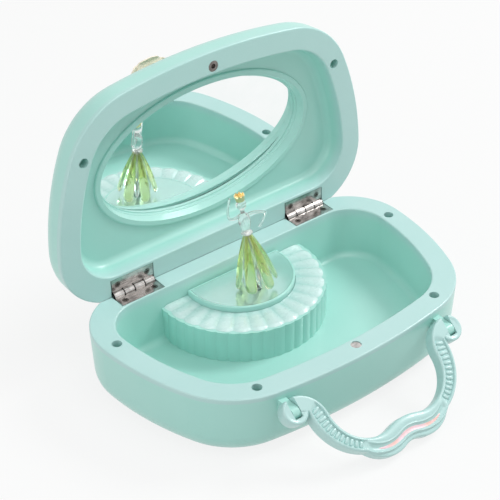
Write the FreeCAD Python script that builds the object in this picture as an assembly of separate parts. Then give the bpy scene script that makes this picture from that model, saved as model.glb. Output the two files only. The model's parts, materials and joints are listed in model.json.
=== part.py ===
import FreeCAD, Part
import math
import os
from FreeCAD import Vector as V

# Ballerina jewellery box shaped like a small handbag, standing open.
# Millimetres. Origin on the table under the middle of the base, X along the hinge, -Y towards the
# handle, +Z up. The lid is modelled closed and then turned open about the hinge line.

os.makedirs("parts", exist_ok=True)

# Purse outline, shared by base and lid
BOX_WIDTH = 184.9
BOX_DEPTH = 111.5
BACK_CORNER_R = 31.4
SIDE_R = 143.1
FRONT_CORNER_R = 41.3
FRONT_CORNER_IN = 49.05
FRONT_BOW_R = 312.7

# Base
BASE_HEIGHT = 36.0
SHELL_WALL = 2.2
FLANGE = 2.5
BASE_DRAFT = 1.8
BASE_ROUND = 13.5
RIM_WIDTH = 12.0
BACK_RIM_WIDTH = 12.7
EDGE_ROUND = 0.8

# Tray
TRAY_WALL = 2.0
TRAY_FLOOR_Z = 9.0
TRAY_DRAFT = 1.2
TRAY_BACK_DRAFT = 4.0
TRAY_FILLET = 4.0

# Lid
LID_DEPTH = 20.5
LID_DRAFT = 1.0
LID_ROUND = 14.0
LID_RIM_WIDTH = 11.7
LID_BACK_RIM_WIDTH = 13.5
LID_OPEN_ANGLE = 92.0
RECESS_DEPTH = 10.0
RECESS_DRAFT = 1.5
LINER_WALL = 1.8

# Oval mirror in the lid
MIRROR_A = 59.5
MIRROR_B = 31.0
MIRROR_FROM_BACK = 56.5
MIRROR_DEPTH = 16.0
MIRROR_THICK = 1.2
MIRROR_LIP = 1.0
FRAME_FLARE = 2.5
FRAME_WALL = 2.0
BEAD_WIDTH = 3.0
BEAD_HEIGHT = 1.2

# Hinges
HINGE_X = 54.0
HINGE_LENGTH = 24.0
HINGE_FROM_BACK = 2.9
KNUCKLES = 4
BARREL_R = 2.0
PIN_R = 0.9
LEAF_WIDTH = 9.0
LEAF_THICK = 0.9
HINGE_SCREW_X = 8.6
HINGE_BLOCK_DEPTH = 6.5
HINGE_END_GAP = 0.6

# Screws: countersunk for hinges, pan head for the rest
CSK_HEAD_R = 1.6
CSK_SHANK_R = 0.8
CSK_LENGTH = 6.0
PAN_HEAD_R = 2.1
PAN_HEAD_H = 1.6
PAN_SHANK_R = 1.2
PAN_LENGTH = 9.0
BED_SCREW_LENGTH = 6.0
COMB_SCREW_LENGTH = 4.0
PAN_ROUND = 0.5
SLOT_WIDTH = 0.5
SLOT_DEPTH = 0.4
SLOT_SHARE = 0.65

# Screw wells in the rims, as angles about the centre of the outline arc they follow
WELL_R = 2.5
WELL_INSET = 7.2
WELL_DEPTH = 11.0
WELL_SEAT = 2.5
BASE_WELL_SIDE_ANGLE = -2.7
BASE_WELL_FRONT_ANGLE = -70.7
LID_WELL_ANGLE = -23.0
LID_WELL_DEPTH = 5.5
POST_R = 3.2

# Catch
CATCH_INSET = 7.7
MAGNET_R = 2.6
MAGNET_H = 3.0
MAGNET_SUNK = 0.4
CATCH_R = 2.75
CATCH_BORE_R = 1.2
CATCH_H = 2.4
BOSS_WALL = 1.0

# Stage
STAGE_X = -2.0
STAGE_SETBACK = 6.3
DRUM_R = 44.0
DRUM_FLUTES = 48
FLUTE_DEPTH = 0.5
DRUM_TOP_Z = 26.0
DRUM_WALL = 2.0
RING_R = 42.8
RING_PETALS = 30
PETAL_DEPTH = 2.6
RING_THICK = 1.6
PLINTH_R = 28.3
PLINTH_TOP_Z = 30.0
PLINTH_LIP = 1.0
STAGE_MIRROR_THICK = 0.8

# Dancer, measured along its own leaning axis from the hem
DANCER_FORWARD = 15.8
DANCER_LEAN = 10.0
DANCER_TURN = -38.6
FOLD_DIR = V(0.6, -0.8, 0.0)
FOLD_PIVOT_FORWARD = 8.0
FOLD_PIVOT_UP = 2.73
HEM_UP = 2.05
COLLAR_S = 29.8
COLLAR_H = 2.0
COLLAR_R = 2.9
NECK_S = 41.6
NECK_R = 1.1
WAIST_R = 1.9
BUST_R = 3.1
SHOULDER = (1.5, 40.0)
RAISED_ARM = ((-6.9, 39.0), (-4.9, 50.0))
BENT_ARM = ((10.6, 40.0), (6.6, 32.8))
HEAD_S = 46.0
HEAD_R = 3.1
CROWN_S = 48.4
CROWN_FOOT_R = 2.2
CROWN_R = 2.6
CROWN_H = 3.6
ARM_R = 0.8
PETALS = 6
PETAL_SWELL = ((0.0, 0.22), (0.35, 0.74), (0.75, 1.0), (1.0, 0.42))
GREEN_PETAL = {"top_radius": 1.7, "tip_radius": 9.3, "hem": 0.6, "fat": 2.7}
CLEAR_PETAL = {"top_radius": 0.95, "tip_radius": 4.2, "hem": 3.5, "fat": 0.7}
POST_WIRE_R = 0.5
SOCKET_S = 6.6
SOCKET_R = 1.5
SOCKET_H = 3.0
SPRING_R = 1.1
SPRING_WIRE_R = 0.25
SPRING_PITCH = 1.0
SPRING_TURNS = 6

# Handle
PIVOT_X = 47.6
PIVOT_STANDOFF = 7.6
PIVOT_DROP = 7.7
HANDLE_REACH = 38.4
TIP_CLEAR = 0.3
HANDLE_THICK = 7.0
HANDLE_ROUND = 1.6
INNER_REACH = 25.0
OUTER_REACH = 36.4
SCROLL_R = 6.4
SCROLL_END = 152.0
CURL_R = 14.3
ARM_INNER_R = 19.3
ARM_OUTER_POINT = (39.3, 17.5)
LOBE_X = 11.0
LOBE_R = 17.6
NOTCH_ANGLE = 36.2
NOTCH_ROUND = 2.2
LUG_THICK = 4.0
LUG_R = 3.2
HANDLE_PIN_R = 1.2
HANDLE_PIN_LENGTH = 11.4
STRIPE_WIDTH = 2.4
STRIPE_REACH = 31.4
STRIPE_CREST = 33.2
STRIPE_TIP = (20.0, 30.6)
STRIPE_DEPTH = 0.8

# Movement
RECESS_R = 17.0
KEY_RECESS = 6.0
BEDPLATE = 1.4
BED_LEFT = 27.0
BED_FRONT = 19.0
BED_BACK = 14.0
BED_SCREWS = ((26.0, 9.0), (-23.0, 6.0), (-18.0, -15.0))
BARREL_WALL = 0.8
BARREL_COVER = 1.0
MAINSPRING_STEP = 0.6
MAINSPRING_STRIP = 0.3
MAINSPRING_HALVES = 12
MAINSPRING_START = 0.9
CROWN_TEETH = 30
PINION_TEETH = 8
MODULE = 0.75
CROWN_TOOTH_SHARE = 1.6
CROWN_TOOTH_W = 2.2
TOOTH_FLANK = ((-1.1, -0.27), (0.0, -0.18), (0.8, -0.09), (0.8, 0.09), (0.0, 0.18), (-1.1, 0.27))
PINION_HEADROOM = 2.3
CYLINDER_R = 3.6
CYLINDER_LENGTH = 12.0
PIN_HEIGHT = 0.35
PIN_ROOT = 0.3
CYLINDER_PIN_R = 0.15
PIN_TURN = 137.5
COMB_TEETH = 18
COMB_LENGTH = 11.0
COMB_FOOT = 4.2
COMB_CLEAR = 0.15
COMB_SCREW_IN = 3.0
COMB_THICK = 0.8
COMB_SLIT = 0.22
GOV_TEETH = 20
GOV_PINION_TEETH = 8
GOV_MODULE = 0.36
GOV_ANGLE = -20.0
GOV_GEAR_THICK = 1.2
GOV_ARBOR_R = 0.375
BRACKET_THICK = 1.2
BRACKET_HALF = 3.5
BRACKET_RISE = 2.0
BRACKET_EDGE = 2.5
FAN_R = 3.0
FAN_LENGTH = 4.6
ARBOR_R = 0.75
SPINDLE_R = 1.25
CAP_RIM = 0.7
CAP_H = 1.0
BUSH_WALL = 1.0
BUSH_DROP = 1.5
KEY_ARBOR_R = 2.0
KEY_HUB_WALL = 1.8
KEY_WING = 13.0
KEY_LOBE_R = 4.2
KEY_WEB = 2.8
KEY_THICK = 4.4
KEY_FLOOR = 1.0
KEY_CLEAR = 0.8

# Flower on the outside of the lid
FLOWER_X = -18.0
FLOWER_FROM_BACK = 90.75
FLOWER_R = 14.5
FLOWER_LOBES = 6
FLOWER_LAYER = 6.5
BUD_R = 9.0
BUD_LOBES = 5
BUD_LAYER = 4.5
FLOWER_LOBE_DEPTH = 1.6
FLOWER_ROUND = 1.5
PEARL_R = 3.2
PEARL_LIFT = 1.07

# Clearances
RUN = 0.05
MESH_PLAY = 0.1
FIT = 0.1
GAP = 0.2
WIDE = 0.4
OVER = 1.0

X = V(1, 0, 0)
Y = V(0, 1, 0)
Z = V(0, 0, 1)

# Places worked out from the sizes above
back_y = BOX_DEPTH / 2
front_y = -BOX_DEPTH / 2
rim_z = BASE_HEIGHT
axis_y = back_y - HINGE_FROM_BACK
front_corner_x = BOX_WIDTH / 2 - FRONT_CORNER_IN
stage_y = back_y - BACK_RIM_WIDTH - STAGE_SETBACK
spin_x = STAGE_X
spin_y = stage_y - DANCER_FORWARD
cup_top_z = KEY_RECESS + SHELL_WALL
bed_top_z = cup_top_z + BEDPLATE
crown_pitch_r = MODULE * CROWN_TEETH / 2
pinion_r = MODULE * PINION_TEETH / 2
tooth_h = CROWN_TOOTH_SHARE * MODULE
pinion_tip_r = pinion_r + TOOTH_FLANK[2][0] * MODULE
cylinder_z = DRUM_TOP_Z - DRUM_WALL - PINION_HEADROOM - pinion_tip_r
barrel_top_z = cylinder_z - MESH_PLAY - pinion_r - tooth_h / 2
pivot_z = rim_z - PIVOT_DROP

exported = []


def save(name, shape):
    """Write one piece, or one group of like pieces, to its own file."""
    shape.exportStep("parts/%s.step" % name)
    exported.append((name, len(shape.Solids), shape.isValid()))


def group(solids):
    return Part.Compound(solids)


def disc(radius, z0, z1, x=0.0, y=0.0):
    return Part.makeCylinder(radius, z1 - z0, V(x, y, z0), Z)


def rod_x(radius, x0, x1, y, z):
    return Part.makeCylinder(radius, x1 - x0, V(x0, y, z), X)


def block(x0, x1, y0, y1, z0, z1):
    return Part.makeBox(x1 - x0, y1 - y0, z1 - z0, V(x0, y0, z0))


def prism(points, along):
    """Straight-sided solid on a closed polygon."""
    return Part.Face(Part.makePolygon(points + points[:1])).extrude(along)


def arc_about(centre, start, end):
    """Arc of less than half a turn about a centre."""
    radius = (start - centre).Length
    middle = centre + ((start - centre) + (end - centre)).normalize() * radius
    return Part.Arc(start, middle, end).toShape()


def both_sides(make):
    """The same piece made on the left and on the right."""
    return [make(-1), make(1)]


# Purse outline
def circle_crossing(a, ra, b, rb):
    """The crossing of two circles that lies towards -X of the line from a to b."""
    d = b - a
    along = (d.Length ** 2 + ra ** 2 - rb ** 2) / (2 * d.Length)
    aside = math.sqrt(ra ** 2 - along ** 2)
    unit = d.normalize()
    return a + unit * along + V(-unit.y, unit.x, 0) * aside


def arc_centres(inset=0.0, back_inset=None):
    """Centres of the front bow, front corner, side and back corner arcs of the right half."""
    behind = inset if back_inset is None else back_inset
    bow = V(0, front_y + FRONT_BOW_R, 0)
    reach = FRONT_BOW_R - FRONT_CORNER_R
    corner = V(front_corner_x, bow.y - math.sqrt(reach ** 2 - front_corner_x ** 2), 0)
    back = V(BOX_WIDTH / 2 - BACK_CORNER_R, back_y - behind - BACK_CORNER_R + inset, 0)
    side = circle_crossing(corner, SIDE_R - FRONT_CORNER_R, back, SIDE_R - BACK_CORNER_R)
    return bow, corner, side, back


def outline(inset, z, back_inset=None):
    """The purse outline drawn in by inset, and at the back by back_inset, at height z."""
    bow, corner, side, back = arc_centres(inset, back_inset)
    r_corner = FRONT_CORNER_R - inset
    r_back = BACK_CORNER_R - inset
    p1 = corner + (corner - bow).normalize() * r_corner
    p2 = corner + (corner - side).normalize() * r_corner
    p3 = back + (back - side).normalize() * r_back
    p4 = back + Y * r_back
    right = [arc_about(corner, p1, p2), arc_about(side, p2, p3), arc_about(back, p3, p4)]
    left = [e.mirror(V(0, 0, 0), X) for e in reversed(right)]
    front = arc_about(bow, V(-p1.x, p1.y, 0), p1)
    rear = Part.makeLine(p4, V(-p4.x, p4.y, 0))
    wire = Part.Wire(Part.__sortEdges__([front] + right + [rear] + left))
    wire.translate(V(0, 0, z))
    return wire


def edges_at(shape, z):
    """Edges lying flat at height z."""
    def flat(edge):
        return max(abs(edge.BoundBox.ZMin - z), abs(edge.BoundBox.ZMax - z)) < 1e-4
    return [e for e in shape.Edges if flat(e)]


def edge_over(shape, x, y):
    """The upright edge that stands at x, y."""
    def upright(edge):
        return all(math.hypot(v.X - x, v.Y - y) < 1e-4 for v in edge.Vertexes)
    return [e for e in shape.Edges if upright(e)][0]


def purse_body(low, high):
    """Solid between two outlines, each given as (inset, z, back_inset)."""
    return Part.makeLoft([outline(*low), outline(*high)], True, True)


def bowl(inset, z_rim, z_end, draft, rounding):
    """Body of the box from its rim to its closed end, which is rounded over."""
    body = purse_body((inset, z_rim), (inset + draft, z_end))
    return body.makeFillet(rounding, edges_at(body, z_end))


def bow_y(x):
    """Front of the outline at x, on the bowed front."""
    return front_y + FRONT_BOW_R - math.sqrt(FRONT_BOW_R ** 2 - x ** 2)


def rim_point(centre, radius, angle, inset):
    """Point on the rim's middle, by its angle about an outline arc's centre."""
    a = math.radians(angle)
    return centre + V(math.cos(a), math.sin(a), 0) * (radius - inset)


centre_bow, centre_corner, centre_side, centre_back = arc_centres()
base_wells = [
    rim_point(centre_side, SIDE_R, BASE_WELL_SIDE_ANGLE, WELL_INSET),
    rim_point(centre_corner, FRONT_CORNER_R, BASE_WELL_FRONT_ANGLE, WELL_INSET),
]
base_wells += [V(-p.x, p.y, 0) for p in base_wells]
lid_wells = [rim_point(centre_corner, FRONT_CORNER_R, LID_WELL_ANGLE, WELL_INSET)]
lid_wells += [V(-p.x, p.y, 0) for p in lid_wells]
catch_y = front_y + CATCH_INSET
pivot_y = bow_y(PIVOT_X) - PIVOT_STANDOFF
well_floor_z = rim_z - WELL_DEPTH
post_top_z = well_floor_z - WELL_SEAT
magnet_z = rim_z - MAGNET_SUNK - MAGNET_H
bush_r = SPINDLE_R + RUN + BUSH_WALL
bed_screws = [V(spin_x + dx, spin_y + dy, 0) for dx, dy in BED_SCREWS]


# Screws
def slot_cut(radius, top):
    """Cross recess for a screw head whose top is at height top."""
    half = SLOT_WIDTH / 2
    reach = SLOT_SHARE * radius
    one = block(-reach, reach, -half, half, top - SLOT_DEPTH, top + OVER)
    other = block(-half, half, -reach, reach, top - SLOT_DEPTH, top + OVER)
    return one.fuse(other)


def csk_solid(grow):
    """Countersunk screw pointing down with its head's top at z 0, grown for its hole."""
    head_h = CSK_HEAD_R - CSK_SHANK_R
    head = Part.makeCone(CSK_SHANK_R + grow, CSK_HEAD_R + grow, head_h, V(0, 0, -head_h), Z)
    return head.fuse(disc(CSK_SHANK_R + grow, -CSK_LENGTH - grow, -head_h))


def csk_screw():
    return csk_solid(0.0).cut(slot_cut(CSK_HEAD_R, 0.0))


def pan_screw(length):
    """Pan-head screw pointing down, with the underside of its head at z 0."""
    head = disc(PAN_HEAD_R, 0, PAN_HEAD_H)
    head = head.makeFillet(PAN_ROUND, edges_at(head, PAN_HEAD_H))
    return head.fuse(disc(PAN_SHANK_R, -length, 0)).cut(slot_cut(PAN_HEAD_R, PAN_HEAD_H))


def placed(shape, x, y, z):
    out = shape.copy()
    out.translate(V(x, y, z))
    return out


def upside_down(shape):
    """The shape turned over about X, so that what pointed down points up."""
    out = shape.copy()
    out.rotate(V(0, 0, 0), X, 180)
    return out


# Hinges
def hinge_screw_places(side):
    mid_y = axis_y - (BARREL_R + LEAF_WIDTH) / 2 - GAP
    return [V(side * HINGE_X + dx, mid_y, 0) for dx in (-HINGE_SCREW_X, HINGE_SCREW_X)]


def hinge_room(side, up):
    """Space a leaf and the barrel take out of a rim; up is 1 for the lid and -1 for the base."""
    x0 = side * HINGE_X - HINGE_LENGTH / 2 - HINGE_END_GAP
    x1 = side * HINGE_X + HINGE_LENGTH / 2 + HINGE_END_GAP
    depth = LEAF_THICK + FIT
    z0 = rim_z - depth if up < 0 else rim_z
    leaf = block(x0, x1, axis_y - LEAF_WIDTH - GAP, axis_y, z0, z0 + depth)
    return leaf.fuse(rod_x(BARREL_R + WIDE, x0, x1, axis_y, rim_z))


def hinge_leaf(side, up):
    """One leaf with its share of the knuckles: lid leaves have up 1, base leaves up -1."""
    x0 = side * HINGE_X - HINGE_LENGTH / 2
    pitch = HINGE_LENGTH / KNUCKLES
    z0 = rim_z + RUN if up > 0 else rim_z - LEAF_THICK
    leaf = block(x0, x0 + HINGE_LENGTH, axis_y - LEAF_WIDTH, axis_y, z0, z0 + LEAF_THICK - RUN)
    own = range(1 if up > 0 else 0, KNUCKLES, 2)
    others = range(0 if up > 0 else 1, KNUCKLES, 2)
    for k0 in [x0 + k * pitch for k in own]:
        leaf = leaf.fuse(rod_x(BARREL_R, k0 + FIT, k0 + pitch - FIT, axis_y, rim_z))
    for k0 in [x0 + k * pitch for k in others]:
        leaf = leaf.cut(rod_x(BARREL_R + GAP, k0 - FIT, k0 + pitch + FIT, axis_y, rim_z))
    leaf = leaf.cut(rod_x(PIN_R + RUN, x0 - OVER, x0 + HINGE_LENGTH + OVER, axis_y, rim_z))
    hole = upside_down(csk_solid(RUN)) if up > 0 else csk_solid(RUN)
    for p in hinge_screw_places(side):
        leaf = leaf.cut(placed(hole, p.x, p.y, rim_z + up * RUN))
    return leaf.removeSplitter()


def hinge_pin(side):
    x0 = side * HINGE_X - HINGE_LENGTH / 2
    return rod_x(PIN_R, x0, x0 + HINGE_LENGTH, axis_y, rim_z)


def back_chamfer(up):
    """Wedge behind the hinge line that lets the lid swing back to its stop."""
    slope = math.radians(90 - LID_OPEN_ANGLE / 2)
    reach = HINGE_FROM_BACK + OVER
    drop = up * reach / math.tan(slope)
    shift = FIT / math.cos(slope)
    half = BOX_WIDTH / 2
    past = rim_z - up * OVER
    points = [V(-half, axis_y - shift, rim_z), V(-half, axis_y + reach, rim_z + drop)]
    points += [V(-half, axis_y + reach, past), V(-half, axis_y - shift, past)]
    return prism(points, X * BOX_WIDTH)


# Base
def base_shell():
    outer = bowl(0.0, rim_z - FLANGE, 0.0, BASE_DRAFT, BASE_ROUND)
    inner = bowl(SHELL_WALL, rim_z - FLANGE, SHELL_WALL, BASE_DRAFT, BASE_ROUND - SHELL_WALL)
    shell = outer.cut(inner)
    posts = [disc(POST_R, 0, post_top_z, p.x, p.y) for p in base_wells]
    posts += [disc(POST_R, 0, cup_top_z, p.x, p.y) for p in bed_screws]
    posts.append(disc(RECESS_R + SHELL_WALL, 0, cup_top_z, spin_x, spin_y))
    shell = shell.multiFuse([p.common(outer) for p in posts])
    shell = shell.multiFuse(both_sides(handle_lug))
    cuts = [disc(RECESS_R, -OVER, KEY_RECESS, spin_x, spin_y)]
    cuts.append(disc(KEY_ARBOR_R + WIDE, 0, cup_top_z + OVER, spin_x, spin_y))
    cuts += [disc(PAN_SHANK_R + RUN, post_top_z - PAN_LENGTH, rim_z, p.x, p.y) for p in base_wells]
    cuts += [disc(PAN_SHANK_R + RUN, SHELL_WALL, cup_top_z + OVER, p.x, p.y) for p in bed_screws]
    cuts += [hinge_room(side, -1) for side in (-1, 1)]
    cuts.append(back_chamfer(-1))
    for cut in cuts:
        shell = shell.cut(cut)
    return shell.removeSplitter()


def handle_lug(side):
    """Rounded tab on the front wall that carries one end of the handle."""
    x0 = side * PIVOT_X - LUG_THICK / 2
    inside = bow_y(PIVOT_X) + SHELL_WALL
    tab = block(x0, x0 + LUG_THICK, pivot_y, inside, pivot_z - LUG_R, pivot_z + LUG_R)
    tab = tab.fuse(rod_x(LUG_R, x0, x0 + LUG_THICK, pivot_y, pivot_z))
    return tab.cut(rod_x(HANDLE_PIN_R + RUN, x0 - OVER, x0 + LUG_THICK + OVER, pivot_y, pivot_z))


def fluted_disc(radius, lobes, depth, z0, z1, x, y):
    """Disc whose edge is a row of outward arcs."""
    def at(r, turn):
        return V(x + r * math.cos(turn), y + r * math.sin(turn), z0)
    step = 2 * math.pi / lobes
    arcs = [Part.Arc(at(radius - depth, k * step), at(radius, (k + 0.5) * step),
                     at(radius - depth, (k + 1) * step)).toShape() for k in range(lobes)]
    return Part.Face(Part.Wire(arcs)).extrude(Z * (z1 - z0))


def tray_back_y(z):
    """Front face of the tray's leaning back wall at height z."""
    share = (rim_z - z) / (rim_z - TRAY_FLOOR_Z)
    return back_y - BACK_RIM_WIDTH - TRAY_BACK_DRAFT * share


def before_back_wall(shape, z):
    """The part of a stage piece that lies in front of the tray's back wall."""
    far = 2 * DRUM_R
    y0 = tray_back_y(z) - GAP
    return shape.cut(block(STAGE_X - far, STAGE_X + far, y0, y0 + far, -far, far))


def tray_outside():
    """Outside of the hanging tray, below its flange."""
    under_z = TRAY_FLOOR_Z - TRAY_WALL
    start = (RIM_WIDTH - TRAY_WALL, rim_z - FLANGE / 2, BACK_RIM_WIDTH - TRAY_WALL)
    end = (RIM_WIDTH + TRAY_DRAFT - TRAY_WALL, under_z, BACK_RIM_WIDTH + TRAY_BACK_DRAFT - TRAY_WALL)
    body = purse_body(start, end)
    return body.makeFillet(TRAY_FILLET + TRAY_WALL, edges_at(body, under_z))


def tray_shell():
    """Flange and tray, hollowed, with its top edges softened."""
    mouth = (RIM_WIDTH, rim_z, BACK_RIM_WIDTH)
    floor = (RIM_WIDTH + TRAY_DRAFT, TRAY_FLOOR_Z, BACK_RIM_WIDTH + TRAY_BACK_DRAFT)
    cavity = purse_body(mouth, floor)
    cavity = cavity.makeFillet(TRAY_FILLET, edges_at(cavity, TRAY_FLOOR_Z))
    flange = Part.Face(outline(0.0, rim_z - FLANGE)).extrude(Z * FLANGE)
    shell = tray_outside().fuse(flange).removeSplitter().cut(cavity)
    return shell.makeFillet(EDGE_ROUND, edges_at(shell, rim_z))


def base_tray():
    """Tray with the stage drum, screw bosses and hinge blocks, in one moulding."""
    drum_z0 = TRAY_FLOOR_Z - TRAY_WALL
    drum = fluted_disc(DRUM_R, DRUM_FLUTES, FLUTE_DEPTH, drum_z0, DRUM_TOP_Z, STAGE_X, stage_y)
    adds = [drum.common(tray_outside())]
    adds += [disc(POST_R + FIT, post_top_z + GAP, rim_z - FLANGE, p.x, p.y) for p in base_wells]
    adds.append(disc(MAGNET_R + BOSS_WALL, magnet_z - BOSS_WALL, rim_z - FLANGE, 0, catch_y))
    adds += [hinge_block(side, -1) for side in (-1, 1)]
    inner_r = DRUM_R - FLUTE_DEPTH - DRUM_WALL
    cuts = [disc(inner_r, 0, DRUM_TOP_Z - DRUM_WALL, STAGE_X, stage_y)]
    cuts.append(disc(bush_r + RUN, 0, DRUM_TOP_Z + OVER, spin_x, spin_y))
    cuts += [disc(WELL_R, well_floor_z, rim_z + OVER, p.x, p.y) for p in base_wells]
    cuts += [disc(PAN_SHANK_R + FIT, 0, rim_z, p.x, p.y) for p in base_wells]
    cuts.append(disc(MAGNET_R + RUN, magnet_z, rim_z + OVER, 0, catch_y))
    cuts += hinge_cuts(-1)
    tray = tray_shell().multiFuse(adds)
    for cut in cuts:
        tray = tray.cut(cut)
    return tray.removeSplitter()


def hinge_cuts(up):
    """What both hinges take out of a rim: leaf rooms, screw holes and the wedge at the back."""
    cuts = [back_chamfer(up)]
    hole = upside_down(csk_solid(RUN)) if up > 0 else csk_solid(RUN)
    for side in (-1, 1):
        cuts.append(hinge_room(side, up))
        cuts += [placed(hole, p.x, p.y, rim_z + up * RUN) for p in hinge_screw_places(side)]
    return cuts


def hinge_block(side, up):
    """Solid block behind a rim that the hinge screws bite into."""
    x0 = side * HINGE_X - HINGE_LENGTH / 2
    z0 = rim_z + FLANGE if up > 0 else rim_z - FLANGE - HINGE_BLOCK_DEPTH
    y0 = axis_y - LEAF_WIDTH + GAP
    y1 = axis_y - BARREL_R - WIDE
    return block(x0, x0 + HINGE_LENGTH, y0, y1, z0, z0 + HINGE_BLOCK_DEPTH)


def petal_ring():
    ring_top = DRUM_TOP_Z + RING_THICK
    ring = fluted_disc(RING_R, RING_PETALS, PETAL_DEPTH, DRUM_TOP_Z, ring_top, STAGE_X, stage_y)
    ring = ring.cut(disc(PLINTH_R + FIT, 0, rim_z, STAGE_X, stage_y))
    return before_back_wall(ring, DRUM_TOP_Z)


def stage_plinth():
    plinth = before_back_wall(disc(PLINTH_R, DRUM_TOP_Z, PLINTH_TOP_Z, STAGE_X, stage_y), DRUM_TOP_Z)
    plinth = plinth.makeFillet(EDGE_ROUND, edges_at(plinth, PLINTH_TOP_Z))
    seat = stage_mirror_disc(PLINTH_TOP_Z - STAGE_MIRROR_THICK, PLINTH_TOP_Z + OVER, 0.0)
    return plinth.cut(seat).cut(disc(SPINDLE_R + WIDE, 0, rim_z, spin_x, spin_y))


def stage_mirror_disc(z0, z1, shrink):
    glass = disc(PLINTH_R - PLINTH_LIP - shrink, z0, z1, STAGE_X, stage_y)
    far = 2 * DRUM_R
    y0 = tray_back_y(DRUM_TOP_Z) - GAP - PLINTH_LIP - shrink
    return glass.cut(block(STAGE_X - far, STAGE_X + far, y0, y0 + far, -far, far))


def stage_mirror():
    glass = stage_mirror_disc(PLINTH_TOP_Z - STAGE_MIRROR_THICK, PLINTH_TOP_Z, RUN)
    return glass.cut(disc(SPINDLE_R + WIDE, 0, rim_z, spin_x, spin_y))


# Lid, modelled closed over the base and then opened
mirror_y = back_y - MIRROR_FROM_BACK
lid_post_z = rim_z + LID_WELL_DEPTH + WELL_SEAT
flower_y = back_y - FLOWER_FROM_BACK
flower_z0 = rim_z + LID_DEPTH
flower_z1 = flower_z0 + FLOWER_LAYER
bud_z1 = flower_z1 + BUD_LAYER


def oval(a, b, z):
    return Part.Wire(Part.Ellipse(V(0, mirror_y, z), a, b).toShape())


def oval_disc(grow, z0, z1):
    return Part.Face(oval(MIRROR_A + grow, MIRROR_B + grow, z0)).extrude(Z * (z1 - z0))


def opened(shape):
    out = shape.copy()
    out.rotate(V(0, axis_y, rim_z), X, -LID_OPEN_ANGLE)
    return out


def lid_outside():
    return bowl(0.0, rim_z + FLANGE, rim_z + LID_DEPTH, LID_DRAFT, LID_ROUND)


def lid_shell():
    outer = lid_outside()
    inside_z = rim_z + LID_DEPTH - SHELL_WALL
    inner = bowl(SHELL_WALL, rim_z + FLANGE, inside_z, LID_DRAFT, LID_ROUND - SHELL_WALL)
    shell = outer.cut(inner)
    posts = [disc(POST_R, lid_post_z + GAP, rim_z + LID_DEPTH, p.x, p.y) for p in lid_wells]
    shell = shell.multiFuse([p.common(outer) for p in posts])
    screw_end = rim_z + LID_WELL_DEPTH + PAN_LENGTH + GAP
    cuts = [disc(PAN_SHANK_R + RUN, 0, screw_end, p.x, p.y) for p in lid_wells]
    cuts += [hinge_room(side, 1) for side in (-1, 1)]
    cuts.append(back_chamfer(1))
    for cut in cuts:
        shell = shell.cut(cut)
    return shell.removeSplitter()


def mirror_frame(liner):
    """Add the stepped oval frame that holds the mirror to the liner's floor."""
    floor = rim_z + RECESS_DEPTH
    glass = rim_z + MIRROR_DEPTH
    top = floor - BEAD_HEIGHT
    bead = oval_disc(FRAME_FLARE + BEAD_WIDTH, top, floor + LINER_WALL)
    bead = bead.makeFillet(EDGE_ROUND, edges_at(bead, top))
    tube = oval_disc(MIRROR_LIP + FRAME_WALL, floor, glass + MIRROR_THICK)
    mouth = oval(MIRROR_A + FRAME_FLARE, MIRROR_B + FRAME_FLARE, top)
    funnel = Part.makeLoft([mouth, oval(MIRROR_A, MIRROR_B, glass)], True, True)
    seat = oval_disc(MIRROR_LIP, glass, glass + MIRROR_THICK)
    return liner.multiFuse([bead, tube]).cut(funnel).cut(seat)


def liner_shell():
    """Rim and recess of the lid's inside, hollowed, with the rim's edges softened."""
    deep_z = rim_z + RECESS_DEPTH
    under_z = deep_z + LINER_WALL
    floor_inset = LID_RIM_WIDTH + RECESS_DRAFT
    floor_back = LID_BACK_RIM_WIDTH + RECESS_DRAFT
    recess = purse_body((LID_RIM_WIDTH, rim_z, LID_BACK_RIM_WIDTH), (floor_inset, deep_z, floor_back))
    recess = recess.makeFillet(TRAY_FILLET, edges_at(recess, deep_z))
    start = (LID_RIM_WIDTH - LINER_WALL, rim_z + FLANGE / 2, LID_BACK_RIM_WIDTH - LINER_WALL)
    outside = purse_body(start, (floor_inset - LINER_WALL, under_z, floor_back - LINER_WALL))
    outside = outside.makeFillet(TRAY_FILLET + LINER_WALL, edges_at(outside, under_z))
    flange = Part.Face(outline(0.0, rim_z)).extrude(Z * FLANGE)
    shell = outside.fuse(flange).removeSplitter().cut(recess)
    return shell.makeFillet(EDGE_ROUND, edges_at(shell, rim_z))


def lid_liner():
    """Inside of the lid with the mirror's frame, screw bosses and hinge blocks, in one moulding."""
    catch_top = rim_z + CATCH_H + BOSS_WALL
    adds = [disc(POST_R + FIT, rim_z + FLANGE, lid_post_z, p.x, p.y) for p in lid_wells]
    adds.append(disc(CATCH_R + BOSS_WALL, rim_z + FLANGE, catch_top, 0, catch_y))
    adds += [hinge_block(side, 1) for side in (-1, 1)]
    cuts = [disc(WELL_R, 0, rim_z + LID_WELL_DEPTH, p.x, p.y) for p in lid_wells]
    cuts += [disc(PAN_SHANK_R + FIT, 0, lid_post_z + OVER, p.x, p.y) for p in lid_wells]
    cuts.append(disc(CATCH_R + RUN, 0, rim_z + CATCH_H, 0, catch_y))
    cuts += hinge_cuts(1)
    liner = mirror_frame(liner_shell().multiFuse(adds))
    for cut in cuts:
        liner = liner.cut(cut)
    return liner.removeSplitter()


def lid_mirror():
    glass = rim_z + MIRROR_DEPTH
    return oval_disc(MIRROR_LIP - FIT, glass, glass + MIRROR_THICK - FIT)


def lid_catch():
    """Steel ring that the magnet holds, let into the lid's rim."""
    ring = disc(CATCH_R, rim_z + FIT, rim_z + CATCH_H, 0, catch_y)
    return ring.cut(disc(CATCH_BORE_R, 0, rim_z + CATCH_H - EDGE_ROUND, 0, catch_y))


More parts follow.
